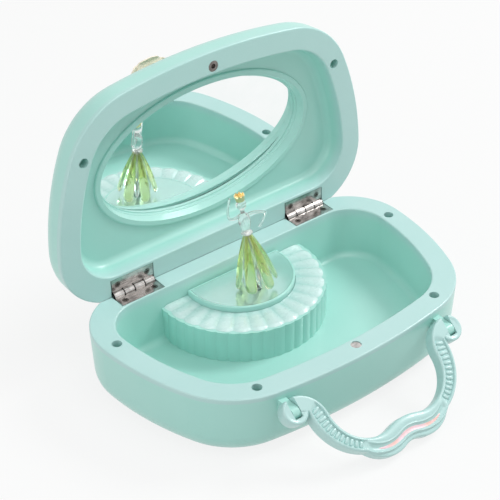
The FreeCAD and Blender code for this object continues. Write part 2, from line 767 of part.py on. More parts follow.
def flower_layer(radius, lobes, z0, z1):
    """One round of petals with softened edges."""
    layer = fluted_disc(radius, lobes, FLOWER_LOBE_DEPTH, z0, z1, FLOWER_X, flower_y)
    return layer.makeFillet(FLOWER_ROUND, edges_at(layer, z0) + edges_at(layer, z1))


def pearl_ball(grow):
    return Part.makeSphere(PEARL_R + grow, V(FLOWER_X, flower_y, bud_z1 + PEARL_LIFT))


def flower_bud():
    return flower_layer(BUD_R, BUD_LOBES, flower_z1, bud_z1).cut(pearl_ball(RUN))


# Handle, drawn flat with its pivot line on X and then hung from the lugs
def at_reach(x, reach):
    """Point of the flat handle, by its distance from the pivot line."""
    return V(x, -reach, 0)


def dip_centre(reach, side, radius):
    """Centre of the arc that crosses the middle at the given reach and touches the circle at side."""
    fall = -side.y
    r = (side.x ** 2 + (reach - fall) ** 2 - radius ** 2) / (2 * (radius - reach + fall))
    return at_reach(0, reach + r)


def towards(start, end, distance):
    return start + (end - start).normalize() * distance


def mirrored_face(right):
    """Flat face from the edges of its right half."""
    left = [e.mirror(V(0, 0, 0), X) for e in right]
    return Part.Face(Part.Wire(Part.__sortEdges__(right + left)))


scroll_centre = at_reach(PIVOT_X, 0)
scroll_turn = math.radians(SCROLL_END)
scroll_end = scroll_centre + at_reach(math.cos(scroll_turn), math.sin(scroll_turn)) * SCROLL_R
lobe_centre = at_reach(LOBE_X, HANDLE_REACH - LOBE_R)
notch_turn = math.radians(NOTCH_ANGLE)
notch = lobe_centre + at_reach(math.cos(notch_turn), math.sin(notch_turn)) * LOBE_R


def inner_edge():
    """Inside of the handle from the middle to the top of the scroll, in arcs that run into each other."""
    curl_reach = CURL_R - SCROLL_R
    curl_centre = at_reach(PIVOT_X, curl_reach)
    curl_start = at_reach(PIVOT_X - CURL_R, curl_reach)
    arm_centre = curl_start - X * ARM_INNER_R
    valley_centre = dip_centre(INNER_REACH, arm_centre, ARM_INNER_R)
    touch = towards(arm_centre, valley_centre, ARM_INNER_R)
    return [arc_about(valley_centre, at_reach(0, INNER_REACH), touch),
            arc_about(arm_centre, touch, curl_start),
            arc_about(curl_centre, curl_start, at_reach(PIVOT_X, -SCROLL_R))]


def outer_edge():
    """Outside of the handle from the top of the scroll back to the middle."""
    dip = dip_centre(OUTER_REACH, lobe_centre, LOBE_R)
    touch = towards(lobe_centre, dip, LOBE_R)
    rim = scroll_centre + X * SCROLL_R
    return [arc_about(scroll_centre, at_reach(PIVOT_X, -SCROLL_R), rim),
            arc_about(scroll_centre, rim, scroll_end),
            Part.Arc(scroll_end, at_reach(*ARM_OUTER_POINT), notch).toShape(),
            arc_about(lobe_centre, notch, touch),
            arc_about(dip, touch, at_reach(0, OUTER_REACH))]


def stripe_face():
    half = STRIPE_WIDTH / 2
    tip = at_reach(*STRIPE_TIP)
    crest = V(tip.x / 2, -STRIPE_CREST, 0)
    near = Part.Arc(at_reach(0, STRIPE_REACH - half), crest + Y * half, tip).toShape()
    far = Part.Arc(tip, crest - Y * half, at_reach(0, STRIPE_REACH + half)).toShape()
    return mirrored_face([near, far])


half_thick = HANDLE_THICK / 2
tip_slant = math.hypot(HANDLE_REACH, half_thick)
tip_dip = math.asin((pivot_z - TIP_CLEAR) / tip_slant)
handle_tilt = math.degrees(tip_dip - math.atan2(half_thick, HANDLE_REACH))


def hung(shape):
    """Hang a flat handle piece from the pivots, with its tip just clear of the table."""
    out = shape.copy()
    out.rotate(V(0, 0, 0), X, handle_tilt)
    out.translate(V(0, pivot_y, pivot_z))
    return out


def stripe_solid():
    strip = stripe_face()
    strip.translate(Z * (half_thick - STRIPE_DEPTH))
    return strip.extrude(Z * STRIPE_DEPTH)


def handle():
    bail = mirrored_face(inner_edge() + outer_edge())
    bail.translate(Z * -half_thick)
    bail = bail.extrude(Z * HANDLE_THICK)
    notches = [edge_over(bail, side * p.x, p.y) for p in (notch, scroll_end) for side in (-1, 1)]
    bail = bail.makeFillet(NOTCH_ROUND, notches)
    rims = edges_at(bail, half_thick) + edges_at(bail, -half_thick)
    bail = bail.makeFillet(HANDLE_ROUND, rims)
    slot = LUG_THICK / 2 + GAP
    for side in (-1, 1):
        x = side * PIVOT_X
        behind = 2 * SCROLL_R
        bail = bail.cut(block(x - slot, x + slot, -LUG_R - WIDE, behind, -HANDLE_THICK, HANDLE_THICK))
        bail = bail.cut(rod_x(HANDLE_PIN_R + RUN, x - SCROLL_R - OVER, x + SCROLL_R + OVER, 0, 0))
    return bail.cut(stripe_solid())


def handle_pin(side):
    x = side * PIVOT_X
    return rod_x(HANDLE_PIN_R, x - HANDLE_PIN_LENGTH / 2, x + HANDLE_PIN_LENGTH / 2, 0, 0)


# Dancer, made upright on the Z axis with the hem at z 0
fold_axis = Z.cross(FOLD_DIR)
foot = V(spin_x, spin_y, PLINTH_TOP_Z)
hem_centre = foot + Z * HEM_UP - FOLD_DIR * (HEM_UP * math.tan(math.radians(DANCER_LEAN)))
fold_turn = math.degrees(math.atan2(FOLD_DIR.y, FOLD_DIR.x)) - DANCER_TURN


def standing(shape):
    """Turn an upright dancer piece to its rest heading, lean it back and set it on the stage."""
    out = shape.copy()
    out.rotate(V(0, 0, 0), Z, DANCER_TURN)
    out.rotate(V(0, 0, 0), fold_axis, -DANCER_LEAN)
    out.translate(hem_centre)
    return out


def limb(points, radius):
    """Round-jointed tube through a few points."""
    parts = [Part.makeSphere(radius, p) for p in points[1:]]
    for a, b in zip(points, points[1:]):
        parts.append(Part.makeCylinder(radius, (b - a).Length, a, b - a))
    return parts[0].multiFuse(parts[1:])


def dancer_body():
    """Turned body and head with one arm raised and one hand on the hip."""
    low = COLLAR_S + COLLAR_H
    waist = V(WAIST_R, 0, low)
    neck = V(NECK_R, 0, NECK_S)
    side = Part.Arc(waist, V(BUST_R, 0, (low + NECK_S) / 2), neck).toShape()
    rest = Part.makePolygon([neck, V(NECK_R, 0, HEAD_S), V(0, 0, HEAD_S), V(0, 0, low), waist])
    torso = Part.Face(Part.Wire([side] + rest.Edges)).revolve(V(0, 0, 0), Z, 360)
    x, s = SHOULDER
    raised = limb([V(-x, 0, s)] + [V(a, 0, b) for a, b in RAISED_ARM], ARM_R)
    bent = limb([V(x, 0, s)] + [V(a, 0, b) for a, b in BENT_ARM], ARM_R)
    return torso.multiFuse([Part.makeSphere(HEAD_R, V(0, 0, HEAD_S)), raised, bent])


def dancer_crown():
    crown = Part.makeCone(CROWN_FOOT_R, CROWN_R, CROWN_H, V(0, 0, CROWN_S), Z)
    return crown.cut(Part.makeSphere(HEAD_R + RUN, V(0, 0, HEAD_S)))


def skirt_collar():
    collar = Part.makeCone(COLLAR_R, WAIST_R, COLLAR_H - RUN, V(0, 0, COLLAR_S), Z)
    return collar.cut(disc(POST_WIRE_R + RUN, 0, NECK_S))


def petal(angle, top_radius, tip_radius, hem, fat):
    """Drop-shaped petal hanging from the collar, lofted through circles along a slanting line."""
    top = V(top_radius, 0, COLLAR_S - GAP)
    tip = V(tip_radius, 0, hem)
    rings = []
    for share, swell in PETAL_SWELL:
        ring = Part.Circle(top + (tip - top) * share, tip - top, swell * fat)
        rings.append(Part.Wire(ring.toShape()))
    out = Part.makeLoft(rings, True)
    out.rotate(V(0, 0, 0), Z, angle)
    return out


def petal_row(first, sizes):
    step = 360.0 / PETALS
    return [standing(petal(first + k * step, **sizes)) for k in range(PETALS)]


def biarc(p, tp, q, tq):
    """Two arcs from p to q that leave along tp, arrive along tq and meet smoothly."""
    v = q - p
    t = tp + tq
    bend = 2 * (1 - tp.dot(tq))
    d = (-v.dot(t) + math.sqrt(v.dot(t) ** 2 + bend * v.dot(v))) / bend
    a, b = p + tp * d, q - tq * d
    joint = (a + b) * 0.5
    return [corner_arc(p, a, joint), corner_arc(joint, b, q)]


def corner_arc(start, corner, end):
    """Arc that touches the two lines start-corner and corner-end."""
    middle = (start + end) * 0.5
    half = (end - start).Length / 2
    rise = corner - middle
    turn = math.atan2(rise.Length, half)
    return Part.Arc(start, middle + rise.normalize() * (half * math.tan(turn / 2)), end).toShape()


def dancer_spring():
    """Close coil between the spindle's cap and the socket, one unbroken wire."""
    start = SOCKET_S - GAP - SPRING_WIRE_R - SPRING_TURNS * SPRING_PITCH
    climb = SPRING_PITCH / (2 * math.pi)

    def at(turn):
        a = 2 * math.pi * turn
        return V(SPRING_R * math.cos(a), SPRING_R * math.sin(a), start + SPRING_PITCH * turn)

    def heading(turn):
        a = 2 * math.pi * turn
        return V(-SPRING_R * math.sin(a), SPRING_R * math.cos(a), climb).normalize()

    stops = [k / 4 for k in range(4 * SPRING_TURNS + 1)]
    run = 2 * SPRING_WIRE_R
    edges = [Part.makeLine(at(0) - heading(0) * run, at(0))]
    for a, b in zip(stops, stops[1:]):
        edges += biarc(at(a), heading(a), at(b), heading(b))
    edges.append(Part.makeLine(at(stops[-1]), at(stops[-1]) + heading(stops[-1]) * run))
    path = Part.Wire(edges)
    section = Part.Wire(Part.Circle(at(0) - heading(0) * run, heading(0), SPRING_WIRE_R).toShape())
    coil = path.makePipeShell([section], True, False)
    samples = [at(k / 24) for k in range(24 * SPRING_TURNS + 1)]
    nearest = min((p - q).Length for i, p in enumerate(samples) for q in samples[i + 13:])
    print("spring least gap to itself %.2f mm" % (nearest - 2 * SPRING_WIRE_R))
    return coil


def spring_socket():
    cup = disc(SOCKET_R, SOCKET_S, SOCKET_S + SOCKET_H)
    return cup.cut(disc(POST_WIRE_R + RUN, SOCKET_S + EDGE_ROUND, SOCKET_S + SOCKET_H + OVER))


def dancer_post():
    return disc(POST_WIRE_R, SOCKET_S + EDGE_ROUND + RUN, COLLAR_S + COLLAR_H - RUN)


# Movement under the stage, placed from the spindle's axis
crown_r = crown_pitch_r + CROWN_TOOTH_W / 2
barrel_z0 = bed_top_z + GAP
cover_z = barrel_top_z - BARREL_COVER
inner_bracket_x = spin_x + crown_r + WIDE
cylinder_x0 = inner_bracket_x + BRACKET_THICK + WIDE
cylinder_x1 = cylinder_x0 + CYLINDER_LENGTH
pinion_x = spin_x + crown_pitch_r - CROWN_TOOTH_W / 2
gov_gear_x = cylinder_x1 + WIDE
outer_bracket_x = gov_gear_x + GOV_GEAR_THICK + WIDE
fan_x = outer_bracket_x + BRACKET_THICK + WIDE
gov_reach = GOV_MODULE * (GOV_TEETH + GOV_PINION_TEETH) / 2
gov_y = spin_y + gov_reach * math.cos(math.radians(GOV_ANGLE))
gov_z = cylinder_z + gov_reach * math.sin(math.radians(GOV_ANGLE))
movement_r = DRUM_R - FLUTE_DEPTH - DRUM_WALL - WIDE
comb_y1 = spin_y - CYLINDER_R - PIN_HEIGHT - COMB_CLEAR
comb_y0 = comb_y1 - COMB_LENGTH
comb_z0 = cylinder_z - COMB_THICK / 2
comb_pitch = CYLINDER_LENGTH / COMB_TEETH
comb_screw_x = (cylinder_x0 + COMB_SCREW_IN, cylinder_x1 - COMB_SCREW_IN)
comb_screws = [V(x, comb_y0 + COMB_FOOT / 2, 0) for x in comb_screw_x]


def toothed(teeth, module, phase, x0, x1, y, z, bore):
    """Spur wheel on an axis along X, with slim teeth so that the mesh runs free."""
    step = 2 * math.pi / teeth
    pitch_r = module * teeth / 2
    points = []
    for k in range(teeth):
        for rise, share in TOOTH_FLANK:
            r = pitch_r + rise * module
            a = math.radians(phase) + (k + share) * step
            points.append(V(x0, y + r * math.cos(a), z + r * math.sin(a)))
    wheel = prism(points, X * (x1 - x0))
    return wheel.cut(rod_x(bore, x0 - OVER, x1 + OVER, y, z))


def bedplate():
    """Plate that carries the movement, trimmed to fit inside the drum."""
    plate = block(spin_x - BED_LEFT, fan_x, spin_y - BED_FRONT, spin_y + BED_BACK, cup_top_z, bed_top_z)
    plate = plate.common(disc(movement_r, 0, rim_z, STAGE_X, stage_y))
    plate = plate.cut(disc(KEY_ARBOR_R + RUN, 0, rim_z, spin_x, spin_y))
    for p in bed_screws:
        plate = plate.cut(disc(PAN_SHANK_R + FIT, 0, rim_z, p.x, p.y))
    return plate


def spring_barrel():
    cup = disc(crown_r, barrel_z0, cover_z, spin_x, spin_y)
    cup = cup.cut(disc(crown_r - BARREL_WALL, barrel_z0 + BARREL_WALL, cover_z, spin_x, spin_y))
    return cup.cut(disc(KEY_ARBOR_R + RUN, 0, rim_z, spin_x, spin_y))


def crown_wheel():
    """Cover of the barrel, with a ring of upright teeth that drives the cylinder's pinion."""
    wheel = disc(crown_r, cover_z, barrel_top_z, spin_x, spin_y)
    pitch = math.pi * MODULE
    low, high = TOOTH_FLANK[5][1] * pitch, TOOTH_FLANK[3][1] * pitch
    half = [(low, -FIT), (low, 0.0), (high, tooth_h)]
    flank = half + [(-y, z) for y, z in reversed(half)]
    tooth = prism([V(pinion_x, spin_y + y, barrel_top_z + z) for y, z in flank], X * CROWN_TOOTH_W)
    teeth = []
    for k in range(CROWN_TEETH):
        one = tooth.copy()
        one.rotate(V(spin_x, spin_y, 0), Z, (k + 0.5) * 360.0 / CROWN_TEETH)
        teeth.append(one)
    return wheel.multiFuse(teeth).removeSplitter()


def spiral_edge(grow):
    """One edge of the mainspring: half circles about two centres in turn, each a step larger."""
    arcs = []
    for k in range(MAINSPRING_HALVES):
        centre = X * (MAINSPRING_STEP * (k % 2))
        r = KEY_ARBOR_R + MAINSPRING_START + MAINSPRING_STEP * k + grow
        r = r if k % 2 == 0 else -r
        arcs.append(Part.Arc(centre + X * r, centre + Y * r, centre - X * r).toShape())
    return arcs


def mainspring():
    """Flat spiral strip inside the barrel."""
    inner, outer = spiral_edge(0.0), spiral_edge(MAINSPRING_STRIP)
    caps = [Part.makeLine(inner[0].Vertexes[0].Point, outer[0].Vertexes[0].Point),
            Part.makeLine(inner[-1].Vertexes[1].Point, outer[-1].Vertexes[1].Point)]
    face = Part.Face(Part.Wire(Part.__sortEdges__(inner + outer + caps)))
    z0 = barrel_z0 + BARREL_WALL + FIT
    face.translate(V(spin_x, spin_y, z0))
    return face.extrude(Z * (cover_z - FIT - z0))


def drive_spindle():
    """Rod up through the stage, with the cap that the dancer's spring stands on."""
    cap_z = PLINTH_TOP_Z + WIDE
    rod = disc(SPINDLE_R, barrel_top_z, cap_z, spin_x, spin_y)
    return rod.fuse(disc(SPINDLE_R + CAP_RIM, cap_z, cap_z + CAP_H, spin_x, spin_y))


def spindle_bush():
    tube = disc(bush_r, DRUM_TOP_Z - DRUM_WALL - BUSH_DROP, DRUM_TOP_Z, spin_x, spin_y)
    return tube.cut(disc(SPINDLE_R + RUN, 0, rim_z, spin_x, spin_y))


def pinned_cylinder():
    """Cylinder on its arbor, each pin turned on from the last so that the tracks look mixed."""
    drum = rod_x(CYLINDER_R, cylinder_x0, cylinder_x1, spin_y, cylinder_z)
    arbor = rod_x(ARBOR_R, pinion_x - BARREL_COVER, fan_x - GAP, spin_y, cylinder_z)
    pins = []
    for k in range(2 * COMB_TEETH):
        a = math.radians(PIN_TURN * k)
        out = V(0, math.cos(a), math.sin(a))
        track = cylinder_x0 + comb_pitch * (k % COMB_TEETH + 0.5)
        start = V(track, spin_y, cylinder_z) + out * (CYLINDER_R - PIN_ROOT)
        pins.append(Part.makeCylinder(CYLINDER_PIN_R, PIN_ROOT + PIN_HEIGHT, start, out))
    return drum.multiFuse([arbor] + pins)


def cylinder_pinion():
    """Pinion with a tooth pointing straight down, into a gap of the crown wheel."""
    x1 = pinion_x + CROWN_TOOTH_W
    return toothed(PINION_TEETH, MODULE, -90, pinion_x, x1, spin_y, cylinder_z, ARBOR_R + RUN)


def governor_gear():
    """Wheel on the cylinder's arbor, with a tooth pointing at the governor."""
    x1 = gov_gear_x + GOV_GEAR_THICK
    return toothed(GOV_TEETH, GOV_MODULE, GOV_ANGLE, gov_gear_x, x1, spin_y, cylinder_z, ARBOR_R + RUN)


def governor_arbor():
    """Fast arbor with a small pinion cut on it, a gap of the pinion facing the wheel."""
    facing = GOV_ANGLE + 180 + 180.0 / GOV_PINION_TEETH
    x1 = gov_gear_x + GOV_GEAR_THICK
    pinion = toothed(GOV_PINION_TEETH, GOV_MODULE, facing, gov_gear_x, x1, gov_y, gov_z, GOV_ARBOR_R)
    return pinion.fuse(rod_x(GOV_ARBOR_R, gov_gear_x, fan_x + FAN_LENGTH, gov_y, gov_z))


def governor_fan():
    """Two-bladed air brake on the end of the fast arbor."""
    x1 = fan_x + FAN_LENGTH
    hub = rod_x(2 * GOV_ARBOR_R, fan_x, x1, gov_y, gov_z)
    blades = block(fan_x, x1, gov_y - FAN_R, gov_y + FAN_R, gov_z - GAP, gov_z + GAP)
    return hub.fuse(blades).cut(rod_x(GOV_ARBOR_R + RUN, fan_x - OVER, x1 + OVER, gov_y, gov_z))


def cylinder_bracket(x0, y1):
    """Upright plate with bearings for the arbors that reach it."""
    x1 = x0 + BRACKET_THICK
    plate = block(x0, x1, spin_y - BRACKET_HALF, y1, bed_top_z, cylinder_z + BRACKET_RISE)
    plate = plate.cut(rod_x(ARBOR_R + RUN, x0 - OVER, x1 + OVER, spin_y, cylinder_z))
    return plate.cut(rod_x(GOV_ARBOR_R + RUN, x0 - OVER, x1 + OVER, gov_y, gov_z))


def comb():
    """Steel comb: a foot and a row of teeth that reach to the cylinder's pins."""
    plate = block(cylinder_x0, cylinder_x1, comb_y0, comb_y1, comb_z0, comb_z0 + COMB_THICK)
    half = COMB_SLIT / 2
    for k in range(1, COMB_TEETH):
        x = cylinder_x0 + k * comb_pitch
        plate = plate.cut(block(x - half, x + half, comb_y0 + COMB_FOOT, comb_y1 + OVER, 0, rim_z))
    for p in comb_screws:
        plate = plate.cut(disc(PAN_SHANK_R + FIT, 0, rim_z, p.x, p.y))
    return plate


def comb_block():
    pillar = block(cylinder_x0, cylinder_x1, comb_y0, comb_y0 + COMB_FOOT, bed_top_z, comb_z0)
    for p in comb_screws:
        pillar = pillar.cut(disc(PAN_SHANK_R + RUN, comb_z0 - COMB_SCREW_LENGTH, rim_z, p.x, p.y))
    return pillar


def winding_key():
    """Two-lobed key that screws on the arbor and stays inside its recess."""
    wing_z = KEY_CLEAR + KEY_THICK / 2
    lobe_x = KEY_WING - KEY_LOBE_R
    half = KEY_WEB / 2
    key = disc(KEY_ARBOR_R + KEY_HUB_WALL, KEY_CLEAR, KEY_CLEAR + KEY_THICK, spin_x, spin_y)
    web = block(spin_x - lobe_x, spin_x + lobe_x, spin_y - half, spin_y + half, KEY_CLEAR, wing_z)
    lobes = [disc(KEY_LOBE_R, KEY_CLEAR, wing_z, spin_x + side * lobe_x, spin_y) for side in (-1, 1)]
    key = key.multiFuse([web] + lobes).removeSplitter()
    return key.cut(disc(KEY_ARBOR_R + RUN, KEY_CLEAR + KEY_FLOOR, rim_z, spin_x, spin_y))


def winding_arbor():
    return disc(KEY_ARBOR_R, KEY_CLEAR + KEY_FLOOR + RUN, cover_z - GAP, spin_x, spin_y)


# Write the pieces
save("base_shell", base_shell())
save("base_tray", base_tray())
save("petal_ring", petal_ring())
save("stage_plinth", stage_plinth())
save("stage_mirror", stage_mirror())
base_screw = pan_screw(PAN_LENGTH)
save("base_screws", group([placed(base_screw, p.x, p.y, well_floor_z) for p in base_wells]))
save("catch_magnet", disc(MAGNET_R, magnet_z + FIT, rim_z - MAGNET_SUNK, 0, catch_y))

save("lid_shell", opened(lid_shell()))
save("lid_liner", opened(lid_liner()))
save("lid_mirror", opened(lid_mirror()))
lid_screw = upside_down(base_screw)
lid_seat_z = rim_z + LID_WELL_DEPTH
save("lid_screws", group([opened(placed(lid_screw, p.x, p.y, lid_seat_z)) for p in lid_wells]))
save("lid_catch", opened(lid_catch()))
save("flower_petals", opened(flower_layer(FLOWER_R, FLOWER_LOBES, flower_z0, flower_z1)))
save("flower_bud", opened(flower_bud()))
save("flower_pearl", opened(pearl_ball(0.0)))

base_leaf_screws = []
lid_leaf_screws = []
for side, word in ((-1, "left"), (1, "right")):
    save(word + "_hinge_base_leaf", hinge_leaf(side, -1))
    save(word + "_hinge_lid_leaf", opened(hinge_leaf(side, 1)))
    save(word + "_hinge_pin", hinge_pin(side))
    for p in hinge_screw_places(side):
        base_leaf_screws.append(placed(csk_screw(), p.x, p.y, rim_z - RUN))
        lid_leaf_screws.append(opened(placed(upside_down(csk_screw()), p.x, p.y, rim_z + RUN)))
save("base_hinge_screws", group(base_leaf_screws))
save("lid_hinge_screws", group(lid_leaf_screws))

save("handle", hung(handle()))
save("handle_stripe", hung(stripe_solid()))
save("handle_pins", group([hung(pin) for pin in both_sides(handle_pin)]))

save("dancer_body", standing(dancer_body()))
save("dancer_crown", standing(dancer_crown()))
save("skirt_collar", standing(skirt_collar()))
save("green_petals", group(petal_row(fold_turn + 180.0 / PETALS, GREEN_PETAL)))
save("clear_petals", group(petal_row(fold_turn, CLEAR_PETAL)))
save("dancer_post", standing(dancer_post()))
save("dancer_spring", standing(dancer_spring()))
save("spring_socket", standing(spring_socket()))

save("movement_bedplate", bedplate())
bed_screw = pan_screw(BED_SCREW_LENGTH)
save("bedplate_screws", group([placed(bed_screw, p.x, p.y, bed_top_z) for p in bed_screws]))
save("spring_barrel", spring_barrel())
save("mainspring", mainspring())
save("crown_wheel", crown_wheel())
save("drive_spindle", drive_spindle())
save("spindle_bush", spindle_bush())
save("pinned_cylinder", pinned_cylinder())
save("cylinder_pinion", cylinder_pinion())
save("governor_gear", governor_gear())
save("governor_arbor", governor_arbor())
save("governor_fan", governor_fan())
save("inner_bracket", cylinder_bracket(inner_bracket_x, spin_y + BRACKET_HALF))
save("outer_bracket", cylinder_bracket(outer_bracket_x, gov_y + BRACKET_EDGE))
save("comb", comb())
save("comb_block", comb_block())
comb_screw = pan_screw(COMB_SCREW_LENGTH)
comb_top_z = comb_z0 + COMB_THICK
save("comb_screws", group([placed(comb_screw, p.x, p.y, comb_top_z) for p in comb_screws]))
save("winding_key", winding_key())
save("winding_arbor", winding_arbor())

for name, solids, valid in exported:
    print("%-22s solids %2d valid %s" % (name, solids, valid))
print("handle hangs at %.1f degrees" % handle_tilt)
print("dancer folds about", foot + FOLD_DIR * FOLD_PIVOT_FORWARD + Z * FOLD_PIVOT_UP)
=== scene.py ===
# %% [markdown]
# # A ballerina jewellery box, finished in Blender
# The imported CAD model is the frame: it gives every solid its place and every joint its axis.
# This lesson keeps the solids whose shape is already right, gives each one a finish, and makes
# new surfaces for the petals, the handle, the dancer and the flower with numpy.

# %% Load the frame and keep its box
import json
import math

import bmesh
import bpy
import numpy as np
from mathutils import Matrix, Vector


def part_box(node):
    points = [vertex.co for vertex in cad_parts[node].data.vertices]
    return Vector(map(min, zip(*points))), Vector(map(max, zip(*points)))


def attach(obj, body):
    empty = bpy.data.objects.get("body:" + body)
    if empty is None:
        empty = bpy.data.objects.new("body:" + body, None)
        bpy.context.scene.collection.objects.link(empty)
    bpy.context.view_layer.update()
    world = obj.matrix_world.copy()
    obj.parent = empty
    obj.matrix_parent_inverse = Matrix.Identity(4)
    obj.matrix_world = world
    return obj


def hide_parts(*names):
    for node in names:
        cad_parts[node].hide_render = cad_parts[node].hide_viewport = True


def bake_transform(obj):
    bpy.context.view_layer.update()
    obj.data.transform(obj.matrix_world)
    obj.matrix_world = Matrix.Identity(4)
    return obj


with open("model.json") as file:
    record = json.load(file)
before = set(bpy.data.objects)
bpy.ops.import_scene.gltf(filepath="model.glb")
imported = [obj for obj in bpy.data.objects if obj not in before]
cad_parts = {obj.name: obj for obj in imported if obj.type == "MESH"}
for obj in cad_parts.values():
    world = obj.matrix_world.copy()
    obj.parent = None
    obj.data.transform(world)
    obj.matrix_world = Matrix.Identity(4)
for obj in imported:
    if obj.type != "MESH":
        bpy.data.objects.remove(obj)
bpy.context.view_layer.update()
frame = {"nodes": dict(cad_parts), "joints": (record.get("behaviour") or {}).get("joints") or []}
MM = 0.001

# %% [markdown]
# ## Shader sums in Python
# A finish is easier to read as a formula than as a web of nodes. The class below wraps one output
# socket: a sum written with it adds a Math node, its node method adds any other kind of node, and the
# short methods after that are for the few kinds that these finishes use again and again.


# %% A socket that can be added and multiplied
def linear(hex_colour):
    """A colour of six hex digits, turned from screen values to the light that they stand for."""
    screen = np.array([int(hex_colour[k:k + 2], 16) for k in (1, 3, 5)]) / 255
    light = np.where(screen <= 0.04045, screen / 12.92, ((screen + 0.055) / 1.055) ** 2.4)
    return (*light.tolist(), 1.0)


class Wire:
    """One output socket of a material, whose sums become Math nodes."""

    def __init__(self, tree, socket=None):
        self.tree = tree
        self.socket = socket

    def node(self, kind, settings=None, sockets=None, output=0):
        """Add a node: its settings first, then the values or wires of its input sockets."""
        made = self.tree.nodes.new(kind)
        for key, value in (settings or {}).items():
            setattr(made, key, value)
        for key, value in (sockets or {}).items():
            if isinstance(value, Wire):
                self.tree.links.new(value.socket, made.inputs[key])
            else:
                made.inputs[key].default_value = value
        return Wire(self.tree, made.outputs[output])

    def math(self, operation, first, second):
        """A Math node on two values or wires."""
        return self.node("ShaderNodeMath", {"operation": operation}, {0: first, 1: second})

    def __add__(self, other):
        return self.math("ADD", self, other)

    def __sub__(self, other):
        return self.math("SUBTRACT", self, other)

    def __rsub__(self, other):
        return self.math("SUBTRACT", other, self)

    def __mul__(self, other):
        return self.math("MULTIPLY", self, other)

    __radd__ = __add__
    __rmul__ = __mul__

    def noise(self, scale, detail=2.0):
        """Cloudy noise over this vector; scale is in clouds per metre."""
        return self.node("ShaderNodeTexNoise", None, {"Vector": self, "Scale": scale, "Detail": detail})

    def stretched(self, x, y, z):
        """This vector scaled along each axis, to draw a pattern out."""
        return self.node("ShaderNodeMapping", None, {"Vector": self, "Scale": (x, y, z)})

    def part(self, axis):
        """This vector's length along one axis."""
        return self.node("ShaderNodeSeparateXYZ", None, {0: self}, axis)

    def attribute(self, name):
        """A number that is stored on the mesh's points."""
        return self.node("ShaderNodeAttribute", {"attribute_name": name}, None, "Fac")

    def stepped(self, low, high):
        """This value as 0 to 1 between low and high, smoothly."""
        limits = {"Value": self, "From Min": low, "From Max": high}
        return self.node("ShaderNodeMapRange", {"interpolation_type": "SMOOTHSTEP"}, limits)

    def tint(self, low, high):
        """A colour between two others, with this value as the share of the second."""
        ends = [end if isinstance(end, Wire) else linear(end) for end in (low, high)]
        return self.node("ShaderNodeMix", {"data_type": "RGBA"}, {0: self, 6: ends[0], 7: ends[1]}, 2)

    def bump(self, depth, strength=1.0):
        """Normals of a surface raised by this value; depth is in millimetres."""
        sizes = {"Height": self, "Distance": depth * MM, "Strength": strength}
        return self.node("ShaderNodeBump", None, sizes)

    def to(self, shader, name):
        """Link this wire to a named socket of a shader."""
        self.tree.links.new(self.socket, shader.inputs[name])


def new_finish(name, **constants):
    """A material with its shader's constants set, and a wire that carries Object coordinates."""
    material = bpy.data.materials.new(name)
    material.use_nodes = True
    shader = material.node_tree.nodes["Principled BSDF"]
    for key, value in constants.items():
        shader.inputs[key.replace("_", " ")].default_value = value
    place = Wire(material.node_tree).node("ShaderNodeTexCoord", output="Object")
    return material, shader, place


print("shader sums ready")

# %% [markdown]
# ## Moulded plastics
# The box is glossy injection-moulded plastic. Its colour is nearly even, with faint clouds where the
# melt flowed, and its skin has a very slight orange peel that breaks up the reflections. The rims of
# tray and lid are painted a shade paler than their hollows: a painted sheen on the rims and painted
# shade in the hollows, where light bounces from wall to wall. The petal ring and the flower are the
# same process in pearly and cream pigments, paler towards the thin edges, and the ring's petals carry
# a painted highlight on the crests of their folds.


# %% Mint, pearl, cream and pink
MINT = ("#A2D9CF", "#B1E1D8")
# PALE_MINT is the handle's colour, and also the colour of the painted sheen on the tray and liner rims
PALE_MINT = ("#AED5D1", "#BDDDDB")


def moulded_mint(name, tints=MINT, axis=None, floor=0.0, rim=1.0):
    """Mint plastic: cloudy colour, a gloss that wanders a little and an orange-peel skin. Where an axis
    is given, the colour is painted paler along it from the hollow of a moulding to its rim: painted
    shade in the hollow and a painted sheen on the rim."""
    material, shader, place = new_finish(name, Coat_Roughness=0.08, IOR=1.5)
    cloud = place.noise(34, 3)
    grain = place.noise(1500, 2)
    mottle = 0.75 * cloud + 0.25 * grain
    colour = mottle.tint(*tints)
    if axis:
        # painted sheen and shade: the colour pales towards the rim as a painted sheen and stays deeper
        # in the hollow as painted shade
        edge = place.part(axis).stepped(floor * MM, rim * MM)
        colour = edge.tint(colour, mottle.tint(*PALE_MINT))
    colour.to(shader, "Base Color")
    (0.24 + 0.10 * cloud + 0.06 * grain).to(shader, "Roughness")
    (0.10 + 0.12 * cloud).to(shader, "Coat Weight")
    (place.noise(620, 2) + 0.3 * grain).bump(0.012).to(shader, "Normal")
    return material


def pearl_petal():
    """Pearly white plastic, cloudy, and paler towards each petal's tip, with a painted highlight on the
    crest of its fold.
    """
    material, shader, place = new_finish("pearl_petal", Coat_Roughness=0.15, IOR=1.5)
    tip = place.attribute("along")
    # the fold's height, read here, paints a painted highlight along each fold's crest
    crest_highlight = place.attribute("across")
    cloud = place.noise(260, 2)
    (0.45 * tip + 0.4 * crest_highlight).tint("#A6D2CC", "#D8EDEB").to(shader, "Base Color")
    (0.20 + 0.16 * cloud).to(shader, "Roughness")
    (0.5 + 0.3 * cloud).to(shader, "Coat Weight")
    cloud.bump(0.02).to(shader, "Normal")
    return material


def cream_petal():
    """Cream satin plastic that pales to its petals' lips."""
    material, shader, place = new_finish("cream_petal", IOR=1.5)
    lip = place.attribute("along")
    cloud = place.noise(160, 3)
    (0.8 * lip + 0.2 * cloud).tint("#F1DDBB", "#FCF3E2").to(shader, "Base Color")
    (0.34 + 0.14 * cloud).to(shader, "Roughness")
    (place.noise(900, 2) + cloud).bump(0.02).to(shader, "Normal")
    return material


